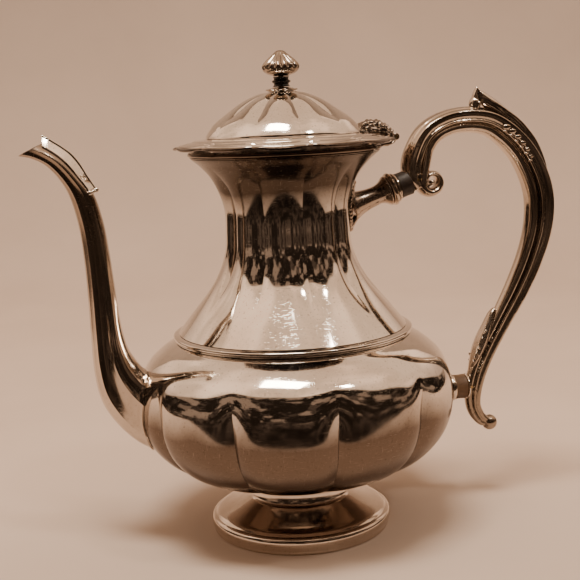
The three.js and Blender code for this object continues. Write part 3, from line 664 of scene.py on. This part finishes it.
crest_part, crest_end = crest()
end_low, end_top = crest_end[1], crest_end[len(CREST_SECTION) - 1]
curl = []
for side in (-1, 1):
    for share, radius in ((0.0, 1.3), (0.45, 1.0), (0.9, 1.3)):
        x, y, z = end_low + (end_top - end_low) * share
        curl.append(ball((x + 0.2, side * abs(y), z - 0.2), radius, steps=10))
build("spout_crest", [crest_part, *curl], ["spout_band"], plate, sharp=28)


# ---------- lid ----------

SCALLOPS = 12
SCALLOP_STEPS = 30
brim_top = np.vstack([
    curve([[60.3, 214.9], [60.5, 215.5], [60.1, 216.0], [59.4, 216.1]], 8),
    curve([[58.9, 215.9], [58.2, 216.2], [57.6, 216.8], [56.8, 217.0], [56.2, 216.8]], 12),
    curve([[55.8, 216.9], [55.0, 217.4], [54.2, 217.5], [53.6, 217.6]], 8),
    curve([[53.2, 217.9], [51.4, 218.2], [50.2, 218.3]], 6),
    curve([[49.7, 218.7], [48.6, 219.1], [45.6, 219.4], [43.4, 219.8]], 8),
    [[41.5, 219.9]],
])
brim_low = [[41.5, 218.8], [46.6, 217.9], [50.6, 216.9], [54.4, 216.0], [57.4, 215.2], [59.4, 214.5]]


def brim_shape(angle, radius, height):
    """The brim's wavy edge: round scallops with a fold running in from between each two."""
    turn = crease(angle + math.pi / SCALLOPS, SCALLOPS)
    outer = ramp(radius, 51, 56)
    notch = 1 - np.sqrt(np.clip(1 - 0.97 * turn**2, 0, 1))
    reach = radius * (1 - 0.038 * outer * notch)
    fold = np.clip((turn - 0.8) / 0.2, 0, 1) ** 1.5 * ramp(radius, 47.5, 51.5)
    dip = 1.4 * ramp(radius, 53, 60) * (0.3 - turn**2)
    return reach, height - dip - 0.45 * fold


def hinge_slot(part):
    """Cuts the brim back where the hinge's knuckles pass, by drawing its points in towards the axis."""
    points, faces = part
    wide = 1 - ramp(np.abs(points[:, 1]), 8.4, 8.9)
    near = (points[:, 0] > 50) * wide
    points[:, 0] = np.where(near > 0, np.minimum(points[:, 0], 59.0 + 4 * (1 - near)), points[:, 0])
    return points, faces


brim = turned(np.vstack([brim_top, brim_low]), SCALLOPS * SCALLOP_STEPS, brim_shape)
build("lid_brim_shell", [hinge_slot(brim)], ["lid_brim"], brim_plate_painted_shade, sharp=30)

bezel = [
    [45.6, 207.6], [45.9, 207.5], [46.6, 207.5], [46.8, 207.8], [46.8, 213.3], [51.2, 213.3], [51.5, 213.6],
    [51.5, 215.2], [47.2, 216.7], [45.6, 216.9],
]
build("lid_bezel_ring", [turned(bezel, 160)], ["lid_bezel"], plate, sharp=30)

DOME_LINE = [
    [42.5, 220.2], [42.3, 220.9], [41.6, 222.2], [40.2, 224.3], [36.9, 228.2], [29.6, 233.6], [21.4, 238.9],
    [13, 242.3], [6, 243.2], [2, 243.3],
]


def dome_shape(angle, radius, height):
    """Creases that run down from the finial and fade out above the brim."""
    depth = 0.13 * ramp(height, 222, 238) * ramp(radius, 4, 12)
    return radius, height - depth * radius * crease(angle, LOBES) ** 2 * 0.55


build(
    "lid_dome_shell", [turned(shell(curve(DOME_LINE, 70), 1.0), AROUND, dome_shape)], ["lid_dome"],
    plate, sharp=22,
)


def petals(angle, radius, height):
    """Eight petals around the edge of the plate."""
    wave = np.abs(np.sin(angle * 4))
    outer = ramp(radius, 5, 8.2)
    return radius * (1 - 0.13 * outer * (1 - wave)), height + 0.5 * outer * (wave - 0.5)


rosette = np.vstack([
    [[1.9, 243.6], [7.6, 243.6]],
    curve([[8.5, 243.8], [8.8, 244.2], [8.2, 244.5], [7.2, 244.4]], 8),
    curve([[6.6, 244.6], [6.2, 245.0], [5.4, 245.2], [4.9, 245.55]], 8),
    [[1.9, 245.6]],
])
build(
    "finial_rosette_petals", [turned(rosette, 128, petals)], ["finial_rosette"],
    cast_plate, sharp=60,
)

spindle = np.vstack([
    [[1.9, 245.9], [4.5, 245.9]],
    curve([[4.55, 246.2], [4.1, 246.8], [3.95, 247.6]], 6),
    curve([[4.4, 247.9], [4.95, 248.3], [5.0, 248.9], [4.5, 249.3]], 8),
    curve([[4.0, 249.6], [3.95, 250.2], [4.3, 250.9]], 5),
    [[4.4, 251.2], [1.9, 251.2]],
])
build("finial_spindle_turned", [turned(spindle, 64)], ["finial_spindle"], spindle_black)

KNOB_FLUTES = 16
knob = np.vstack([
    [[0, 260.5], [1.9, 260.5], [1.9, 251.6], [4.2, 251.5]],
    curve([[5.0, 251.9], [7.4, 252.7], [9.2, 254.0], [10.1, 255.6], [10.2, 256.8]], 18),
    curve([[10.0, 257.4], [9.1, 258.7], [7.4, 260.4], [5.4, 262.1], [3.6, 263.5]], 20),
    curve([[3.2, 263.9], [2.2, 264.7], [1.0, 265.1], [0.0, 265.2]], 7),
])


def flutes(angle, radius, height):
    """Grooves over the knob's rounded side, closing towards its point."""
    depth = 0.14 * ramp(height, 254.6, 257.4) * ramp(height, 264.6, 261.5)
    valley = crease(angle, KNOB_FLUTES) ** 1.5
    return radius * (1 - depth * valley), height


build(
    "finial_knob_fluted", [turned(knob, KNOB_FLUTES * 14, flutes, loop=False)], ["finial_knob"],
    cast_knob, sharp=60,
)


# ---------- hinge ----------


def bar_y(x, z, radius, low, high, around=32):
    """A round bar along Y with softly broken ends."""
    soft = 0.25
    stations = [(low, radius - soft), (low + soft, radius), (high - soft, radius), (high, radius - soft)]
    turn = np.arange(around) * 2 * math.pi / around
    rows = [
        np.stack([x + r * np.cos(turn), np.full(around, y), z + r * np.sin(turn)], -1)
        for y, r in stations
    ]
    return grid(rows)


def slab(x0, x1, y0, y1, z0, z1):
    """A block, used only as a part of a cast piece."""
    rows = [[[x0, y0, z], [x1, y0, z], [x1, y1, z], [x0, y1, z]] for z in (z0, z1)]
    return grid(rows)


HINGE_X, HINGE_Z = 61.8, 216.2
KNUCKLE = 1.95  # radius of the hinge's knuckles
body_parts = [slab(53.3, 57.6, -7.4, 7.4, 211.2, 212.9)]
bracket = curve([[54, 212.1], [57.8, 212.3], [60.6, 213.4], [61.7, 215.4]], 14)
for side in (-1, 1):
    low, high = sorted((side * 3.0, side * 8.0))
    arm = sweep(bracket, np.full(14, 0.85), np.full(14, 2.3), around=20)
    arm[0][:, 1] += side * 5.4
    body_parts += [arm, bar_y(HINGE_X, HINGE_Z, KNUCKLE, low, high)]
cast(build("hinge_fixed_leaf", body_parts, ["hinge_body_leaf"], cast_dark), 0.22, 2)

strip = [[60.8, 216.9], [57, 217.8], [55.4, 218.3], [50.6, 219.3], [45.6, 220.8]]
lid_leaf = sweep(curve(strip, 20), np.full(20, 0.75), np.full(20, 2.6), around=16)
cast(
    build(
        "hinge_moving_leaf", [lid_leaf, bar_y(HINGE_X, HINGE_Z, KNUCKLE, -2.7, 2.7)], ["hinge_lid_leaf"],
        cast_plate,
    ),
    0.22, 2,
)


def hinge_leaves():
    """The cast ornament: rows of small curled leaves heaped over the hinge."""
    random = np.random.default_rng(SEED)
    spine_line = [[43.4, 221.4], [45.4, 224.0], [49.5, 224.9], [54.5, 224.0], [58.6, 220.8], [60.4, 218.9]]
    spine = curve(spine_line, 24)
    base = curve([[43, 220.7], [50, 220.2], [57.5, 218.7]], 12)
    parts = [
        sweep(spine, np.linspace(1.0, 0.9, 24), 1.8 + 1.4 * np.sin(np.linspace(0, math.pi, 24)), around=20),
        sweep(base, np.full(12, 1.1), np.full(12, 5.0), around=16),
    ]
    lowest = 218.7
    for i, x in enumerate(np.arange(44.8, 60.6, 2.45)):
        z = np.interp(x, spine[:, 0], spine[:, 1])
        for across, drop, radius in ((0, -0.2, 1.35), (2.8, 0.5, 1.5), (5.0, 2.0, 1.3)):
            for side in (-1, 1) if across else (1,):
                shift = random.uniform(-0.45, 0.45, 3)
                lean = 0.9 if across > 4 else 0.4 * (i % 2)
                height = max(z - drop, lowest) + 0.5 * shift[2]
                centre = (x + lean + shift[0], side * across + shift[1], height)
                parts.append(ball(centre, radius, (0.85, 1.15, 1.0), 10))
                tip = (centre[0] + 0.7, centre[1] + side * 0.8, centre[2] + 0.75)
                parts.append(ball(tip, 0.62, steps=8))
    return parts


cast(build("hinge_ornament_leaves", hinge_leaves(), ["hinge_ornament"], cast_black), 0.24, 1)


# ---------- handle ----------

# The handle's line from the scroll to its foot, with its width there.
HANDLE = [
    [77.9, 187.6, 12], [75.2, 194.4, 15.4], [75.9, 203, 16.2], [82.4, 215.2, 15.2], [93.5, 221.6, 14.4],
    [107.5, 223.3, 14.6], [121, 220.6, 15.2], [133.6, 211.4, 16.2], [143.6, 198.4, 16.8], [150.4, 180, 17.2],
    [150.2, 161, 16.8], [145, 143, 15.6], [136.2, 124.2, 14.4], [125.2, 105.4, 12.4], [114.8, 87, 11.4],
    [108.8, 72, 10.6], [107.2, 58.6, 9], [110.6, 49.8, 7.6], [115.4, 46.2, 6.4], [118.4, 47.2, 4.6],
]
# The scroll at its upper end: angle in degrees and distance from its eye, then half its thickness and width.
SCROLL = [
    (168, 5.4, 3.5, 5.6), (215, 5.8, 3.2, 5.5), (262, 5.9, 2.8, 5.4), (310, 5.75, 2.4, 5.3),
    (355, 5.6, 2.05, 5.1), (400, 5.3, 1.8, 4.9), (440, 4.8, 1.6, 4.7), (480, 3.7, 1.3, 4.4),
    (525, 2.6, 1.1, 4.2), (575, 1.9, 0.9, 4.0), (640, 1.5, 0.8, 3.9),
]
SCROLL_X, SCROLL_Z = 83.8, 189.6

handle_line = curve(HANDLE, 300)


def beside(line, distance):
    """A line moved outward from the handle's own line by a distance at each point."""
    along = np.gradient(line[:, :2], axis=0)
    along /= np.linalg.norm(along, axis=1)[:, None]
    return line[:, :2] + np.stack([-along[:, 1], along[:, 0]], 1) * np.asarray(distance)[:, None]


def handle_bars():
    """The outer band, the inner bar that winds into the scroll, and a thin thread between them."""
    width = handle_line[:, 2]
    band = beside(handle_line, 0.205 * width)
    parts = [sweep(band, 0.295 * width, 0.46 * width, flat_band, around=64)]
    inner = beside(handle_line, -0.27 * width)
    start = int(np.argmin(np.abs(handle_line[:60, 1] - 205)))
    bar = np.column_stack([inner, 0.235 * width, 0.36 * width])[start:]
    wound = [
        [SCROLL_X + r * math.cos(math.radians(a)), SCROLL_Z + r * math.sin(math.radians(a)), thick, wide]
        for a, r, thick, wide in SCROLL
    ]
    path = curve(np.vstack([bar[::-1][::6], wound]), 460)
    parts.append(sweep(path[:, :2], path[:, 2], path[:, 3], around=48))
    thread = beside(handle_line, -0.03 * width)[start - 12 :]
    thick = width[start - 12 :]
    for side in (-1, 1):
        rod = sweep(thread, 0.055 * thick, 0.06 * thick, around=16)
        rod[0][:, 1] += side * np.repeat(0.385 * thick, 16)
        parts.append(rod)
    parts += [ball((SCROLL_X, side * 3.6, SCROLL_Z), 1.5, (1, 0.9, 1)) for side in (-1, 1)]
    return parts


def flat_band(angle, share):
    """The outer band's section: a low crown with a narrow raised edge on each side."""
    side = np.abs((np.degrees(angle) + 180) % 360 - 180)
    edge = 0.07 * np.exp(-(((side - 66) / 9) ** 2)) - 0.08 * np.exp(-(((side - 42) / 8) ** 2))
    return 1 + edge * ramp(share, 0, 0.05) * ramp(share, 1, 0.9)


tail = [ball((117.6, 0, 45.2), 4.5, (1, 0.94, 1), 22), ball((118.9, 0, 47.6), 1.5, steps=12)]
cast(build("handle_cast", [*handle_bars(), *tail], ["handle"], cast_plate), 0.4, 1)


def leaf_tongue(stations, ribs_across=3, veins=0.12):
    """A leaf from (x, z, thickness, width) stations, with a midrib and side veins."""
    line = curve(stations, 60)

    def section(angle, share):
        return 1 - veins * np.abs(np.sin(ribs_across * angle)) * ramp(share, 0.1, 0.35)

    return sweep(line[:, :2], line[:, 2] / 2, line[:, 3] / 2, section, 40)


def thumb_leaf():
    """The leaf over the handle's top: a tongue with a thin raised tip, and scrolls beside it."""
    tongue = leaf_tongue([
        [113.6, 240.6, 0.9, 2.0], [114.6, 238.7, 2.8, 3.8], [116.2, 236.2, 5.6, 6.2], [119, 233.2, 7.4, 8.6],
        [123.6, 230, 7.4, 10.6], [129, 226, 7.4, 12.2], [135, 221.3, 7.6, 13.6], [140.5, 215.3, 8.0, 14.4],
        [146, 207.2, 8.6, 14.4], [151.6, 195.6, 7.4, 11.4], [155.3, 185.4, 4, 4.4],
    ])
    tip_line = curve([[113.6, 241.3], [112.8, 239.2], [112.3, 236.4], [112.4, 233]], 16)
    tip = sweep(tip_line, np.linspace(0.5, 2.5, 16), np.linspace(0.8, 3.4, 16), around=20)
    parts = [tongue, tip, ball((111.9, 0, 231.4), 3.5, (0.95, 1.1, 1.35))]
    scrolls = [(128, 218.2), (131.6, 215.6), (135, 212.4), (138.2, 208.8), (141, 205), (143.4, 201)]
    for side in (-1, 1):
        parts.append(ball((113.6, side * 3.4, 232.2), 1.0, steps=10))
        for i, (x, z) in enumerate(scrolls):
            smaller = 0.12 * i
            parts.append(ball((x, side * (7.4 - smaller), z), 1.7 - smaller, (1.5, 0.55, 0.9), 10))
            parts.append(ball((x - 1.2, side * 7.7, z - 2.2), 0.95, (1.6, 0.6, 0.7), 8))
    return parts


cast(build("thumb_leaf_cast", thumb_leaf(), ["thumb_leaf"], cast_plate), 0.3, 1)


def lower_leaf():
    """The leaf on the inside of the handle's foot, roughened by small random lumps along its edges."""
    stations = [
        [121.6, 113.4, 1.4, 2.6], [119.6, 110.6, 3.0, 5.4], [117.2, 104, 5.6, 8.6], [113.9, 96, 7.6, 11.2],
        [110.6, 88.6, 6.8, 10.8], [107.5, 81.6, 4.4, 7], [105.4, 77.4, 1.6, 3],
    ]
    parts = [leaf_tongue(stations, 4, 0.07), ball((121.4, 0, 112.6), 1.35, (0.9, 1.5, 1.0), 10)]
    random = np.random.default_rng(SEED + 1)
    for _ in range(60):
        share = random.uniform(0.3, 0.92)
        x, z = 119.2 - 13.6 * share, 109.6 - 29.5 * share
        side = random.choice([-1, 1])
        lump = (
            x - random.uniform(-1.2, 1.6), side * random.uniform(2.6, 4.9), z + random.uniform(-0.8, 0.8),
        )
        parts.append(ball(lump, random.uniform(0.4, 0.65), (0.9, 0.8, 1.3), 8))
    return parts


cast(build("lower_leaf_cast", lower_leaf(), ["lower_leaf"], cast_dark), 0.3, 1)


# ---------- sockets and insulators ----------

# The two seats of the handle: x, z and the slope of the axis, at the face the insulator stands on.
UPPER = (64.2, 188.1, math.radians(18))
LOWER = (95, 68.9, 0.0)


def seat_ring(profile, seat, around=96):
    """A turned ring on a seat's axis, from (distance along the axis, radius) points."""
    flipped = [[radius, along] for along, radius in profile]
    return on_seat(turned(flipped, around), seat)


def neck_radius(height):
    """The neck's outer radius at a height."""
    return np.interp(height, neck_outside[:, 1], neck_outside[:, 0])


def socket_leaf():
    """The leaf plate that clasps the neck, lobed along its sides, and the bell-mouthed stem on it."""
    stem_line = [
        [-27, 7.6], [-24, 6.6], [-19, 5.6], [-14, 5.3], [-10.4, 5.9], [-8.4, 7.1], [-7.2, 8.1], [-6.3, 8.6],
    ]
    stem = curve(stem_line, 30)
    closed = np.vstack([[[-29, 0.01]], [[-29, 7.6]], stem, [[-6.3, 0.01]]])
    parts = [on_seat(turned(closed[:, ::-1], 64, loop=False), UPPER)]
    for i, height in enumerate(np.linspace(166.5, 192, 14)):
        share = i / 13
        half = 7.6 * math.sin(math.pi * min(1, share * 0.86 + 0.1)) ** 0.8 + 0.4
        radius = neck_radius(height) - 0.2
        for k in np.linspace(-1, 1, 9):
            turn = k * half / radius
            lift = 1.1 * (1 - k * k) + 0.5 * abs(math.sin(3.2 * math.pi * k + 0.6 * i))
            out = radius + lift
            centre = (math.cos(turn) * out, math.sin(turn) * out, height)
            parts.append(ball(centre, 1.35, (0.8, 1, 1.1), 8))
    under = curve([[36.2, 167.4], [38.6, 171.6], [42.2, 175.4], [47, 178.6], [51.6, 180.9]], 24)
    parts.append(sweep(under, np.linspace(1.4, 2.6, 24), np.linspace(2.4, 4.6, 24), around=24))
    return parts


def clear_of_neck(piece, gap=0.12):
    """Keeps a cast piece's points outside the neck."""
    points = np.array([v.co for v in piece.data.vertices])
    x, y = (points[:, 0] - AXIS_X) / MM, points[:, 1] / MM
    radius, turn = np.hypot(x, y), np.arctan2(y, x)
    wall, _ = neck_shape(turn, neck_radius(points[:, 2] / MM), points[:, 2] / MM)
    scale = np.where(radius < wall + gap, (wall + gap) / radius, 1)
    points[:, 0], points[:, 1] = x * scale * MM + AXIS_X, y * scale * MM
    piece.data.vertices.foreach_set("co", points.ravel())
    piece.data.update()


socket = build("upper_socket_cast", socket_leaf(), ["upper_socket"], cast_dark)
clear_of_neck(cast(socket, 0.34, 2))

ferrule = [
    [-5.6, 4.95], [-5.6, 8.0], [-5.3, 8.7], [-4.9, 9.1], [-4.2, 9.4], [-3.5, 9.4], [-2.9, 9.0],
    [-2.6, 8.4], [-2.3, 8.1], [-1.9, 8.3], [-1.5, 8.35], [-1.1, 8.0], [-0.9, 7.7], [-0.35, 7.6],
    [-0.3, 7.4], [-0.3, 4.95],
]
build(
    "upper_ferrule_ring", [seat_ring(ferrule, UPPER)], ["upper_ferrule"],
    cast_plate, sharp=30,
)


def barrel(seat, length, radius, tenon_radius, tenon_length, groove):
    """An insulating barrel with broken edges and a tenon at each end."""
    end = length + tenon_length
    broken = 0.35
    hollow = [[length * s, radius - groove * math.sin(math.pi * s)] for s in np.linspace(0.12, 0.88, 12)]
    profile = [
        [-tenon_length, 0.01], [-tenon_length, tenon_radius], [0, tenon_radius], [0, radius - broken],
        [broken, radius], *hollow, [length - broken, radius], [length, radius - broken],
        [length, tenon_radius], [end, tenon_radius], [end, 0.01],
    ]
    flipped = [[r, along] for along, r in profile]
    return on_seat(turned(flipped, 96, loop=False), seat)


build(
    "upper_insulator_barrel", [barrel(UPPER, 7.4, 7.2, 4.6, 7, 0.15)], ["upper_insulator"],
    insulator_dark, sharp=30,
)
build(
    "lower_insulator_barrel", [barrel(LOWER, 6.9, 7.15, 3.2, 4.6, 0.2)], ["lower_insulator"],
    insulator_brown, sharp=30,
)

post = [
    [-9.6, 3.6], [-9.6, 7.0], [-4.4, 7.1], [-3.4, 7.0], [-2.9, 7.4], [-2.5, 7.75], [-1.8, 7.9], [-0.9, 7.85],
    [-0.4, 7.6], [-0.3, 7.2], [-0.3, 3.6],
]
build("lower_socket_ring", [seat_ring(post, LOWER)], ["lower_socket"], plate_spout, sharp=30)

thin_ring = [
    [7.2, 3.6], [7.2, 6.9], [7.35, 7.2], [7.6, 7.4], [8.0, 7.4], [8.25, 7.2], [8.4, 6.9], [8.4, 3.6],
]
build("lower_ring_bright", [seat_ring(thin_ring, LOWER)], ["lower_ring"], plate, sharp=30)


# ---------- the small brass parts keep their CAD shape ----------

for node in (
    "finial_stud", "finial_washer", "finial_nut", "hinge_pin", "upper_socket_pin", "upper_handle_pin",
    "lower_socket_pin", "lower_handle_pin",
):
    for material_slot in frame["nodes"][node].material_slots:
        material_slot.material = plain_brass


# ---------- studio ----------

TURN = math.radians(14)  # the pot's spout is turned towards the camera by this much


def floor():
    """A plain pale board that curves up into a wall behind the pot. Its front edge is just out of sight."""
    n = Paint("pale_board")
    colour = n.blend(n.remap(n.noise(5, 4), 0.3, 0.7), (0.74, 0.60, 0.50, 1), (0.80, 0.655, 0.55, 1))
    n.to_shader("Base Color", colour)
    n.to_shader("Roughness", 0.8)
    n.to_shader("Normal", n.bump(n.noise(400, 4), 0.15, 0.0004))
    bend = np.linspace(0, math.pi / 2, 17)[1:]
    line = [[-0.21, -0.02], [-0.21, -0.0003], [0.2, -0.0003], [0.75, -0.0003]]
    line += [[0.75 + 0.5 * math.sin(t), 0.5 - 0.5 * math.cos(t)] for t in bend] + [[1.25, 1.2], [1.25, 2.2]]
    across = np.linspace(-0.95, 0.95, 9)
    points = []
    for ahead, height in line:
        for side in across:
            x = side * math.cos(TURN) + ahead * math.sin(TURN)
            y = -side * math.sin(TURN) + ahead * math.cos(TURN)
            points.append((x, y, height))
    count = len(across)
    faces = [
        (i * count + j, i * count + j + 1, (i + 1) * count + j + 1, (i + 1) * count + j)
        for i in range(len(line) - 1)
        for j in range(count - 1)
    ]
    mesh = bpy.data.meshes.new("floor")
    mesh.from_pydata(points, [], faces)
    mesh.shade_smooth()
    mesh.materials.append(n.material)
    board = bpy.data.objects.new("floor", mesh)
    bpy.context.scene.collection.objects.link(board)


floor()


def room():
    """A warm plain room: pale behind the pot, dim in front of it, and bright overhead."""
    world = bpy.data.worlds.new("room")
    bpy.context.scene.world = world
    world.use_nodes = True
    world.node_tree.nodes.clear()
    n = Nodes(world.node_tree, "Generated")

    def spread(value, low, high):
        return n.remap(value, low, high, interpolation_type="SMOOTHSTEP")

    wall = (0.62, 0.40, 0.27, 1)
    ceiling = (1.55, 1.05, 0.72, 1)
    ceiling_far = (0.95, 0.64, 0.43, 1)
    dark = (0.018, 0.011, 0.007, 1)
    dim = (0.085, 0.053, 0.035, 1)
    far_wall = (0.30, 0.19, 0.125, 1)
    seen = (0.62, 0.385, 0.25, 1)

    turned_room = n.add("VectorRotate", {"Vector": n.coords, "Angle": TURN}, rotation_type="Z_AXIS")
    faced = turned_room.outputs["Vector"]
    axes = n.add("SeparateXYZ", {"Vector": faced})
    up, ahead = axes.outputs["Z"], axes.outputs["Y"]

    # The dim band in front: dark and less dark patches, with a few windows in its upper half.
    squashed = n.add("Mapping", {"Vector": faced, "Scale": (1, 1, 1.7)}).outputs["Vector"]
    cells = n.add("TexVoronoi", {"Vector": squashed, "Scale": 5.5}, distance="CHEBYCHEV").outputs["Color"]
    shade = n.add("SeparateXYZ", {"Vector": cells}).outputs["X"]
    streaks = n.add("TexNoise", {"Vector": squashed, "Scale": 9.0, "Detail": 3.0}).outputs["Fac"]
    patches = n.math("MULTIPLY", spread(shade, 0.35, 0.7), spread(streaks, 0.4, 0.52))
    window = n.math("MULTIPLY", spread(shade, 0.68, 0.7), spread(up, -0.02, 0.0))
    band = n.blend(window, n.blend(patches, dark, dim), far_wall)

    # The bright part leans forward over the pot, and its edge wanders a little.
    drift = n.add("TexNoise", {"Vector": faced, "Scale": 2.0, "Detail": 0.0}).outputs["Fac"]
    leaning = n.math("ADD", up, n.math("MULTIPLY", ahead, 0.54))
    leaning = n.math("ADD", leaning, n.math("MULTIPLY", drift, 0.2))
    overhead = spread(leaning, 0.51, 0.545)
    mottled = n.add("TexNoise", {"Vector": faced, "Scale": 1.6, "Detail": 2.0}).outputs["Fac"]
    above = n.blend(spread(mottled, 0.38, 0.6), ceiling_far, ceiling)
    bright = n.blend(spread(up, 0.1, 0.55), wall, above)

    reflected = n.blend(overhead, band, bright)
    camera_ray = n.add("LightPath").outputs["Is Camera Ray"]
    background = n.add("Background", {"Color": n.blend(camera_ray, reflected, seen), "Strength": 1.0})
    n.add("OutputWorld", {"Surface": background.outputs[0]})


room()


def soft_light(name, position, target, size, power, colour=(1, 0.86, 0.72)):
    """A soft box at a position, in metres from the pot's foot, facing the target."""
    data = bpy.data.lights.new(name, "AREA")
    data.shape = "RECTANGLE"
    data.size, data.size_y = size
    data.energy = power
    data.color = colour
    lamp = bpy.data.objects.new(name, data)
    bpy.context.scene.collection.objects.link(lamp)
    lamp.location = Vector(position)
    lamp.rotation_mode = "QUATERNION"
    lamp.rotation_quaternion = (Vector(target) - lamp.location).to_track_quat("-Z", "Y")


soft_light("key_light", (-0.3, -0.42, 1.95), (0, 0, 0.15), (0.75, 0.45), 27)
soft_light("second_light", (0.75, -1.0, 1.8), (0, 0, 0.12), (0.2, 0.2), 5)


# ---------- camera ----------

LENS_MM = 68.65  # on a sensor 36 mm wide
CAMERA_DISTANCE = 606 * MM
CAMERA_HEIGHT = 234.5 * MM
CAMERA_SIDE = -0.5 * MM
PITCH = math.radians(9.35)
ROLL = math.radians(2.67)


def make_camera():
    """The camera: in front of the pot and a little above its middle, looking down, tilted by ROLL."""
    right = Vector((math.cos(TURN), -math.sin(TURN), 0))
    ahead = Vector((math.sin(TURN), math.cos(TURN), 0))
    position = Vector((AXIS_X, 0, CAMERA_HEIGHT)) - ahead * CAMERA_DISTANCE + right * CAMERA_SIDE
    forward = ahead * math.cos(PITCH) - Vector((0, 0, math.sin(PITCH)))
    up = right.cross(forward)
    image_right = right * math.cos(ROLL) - up * math.sin(ROLL)
    image_up = right * math.sin(ROLL) + up * math.cos(ROLL)
    rotation = Matrix((image_right, image_up, -forward)).transposed().to_4x4()
    data = bpy.data.cameras.new("camera")
    data.sensor_width = 36
    data.lens = LENS_MM
    data.clip_start, data.clip_end = 0.02, 50
    camera = bpy.data.objects.new("camera", data)
    bpy.context.scene.collection.objects.link(camera)
    camera.matrix_world = Matrix.Translation(position) @ rotation
    bpy.context.scene.camera = camera


make_camera()
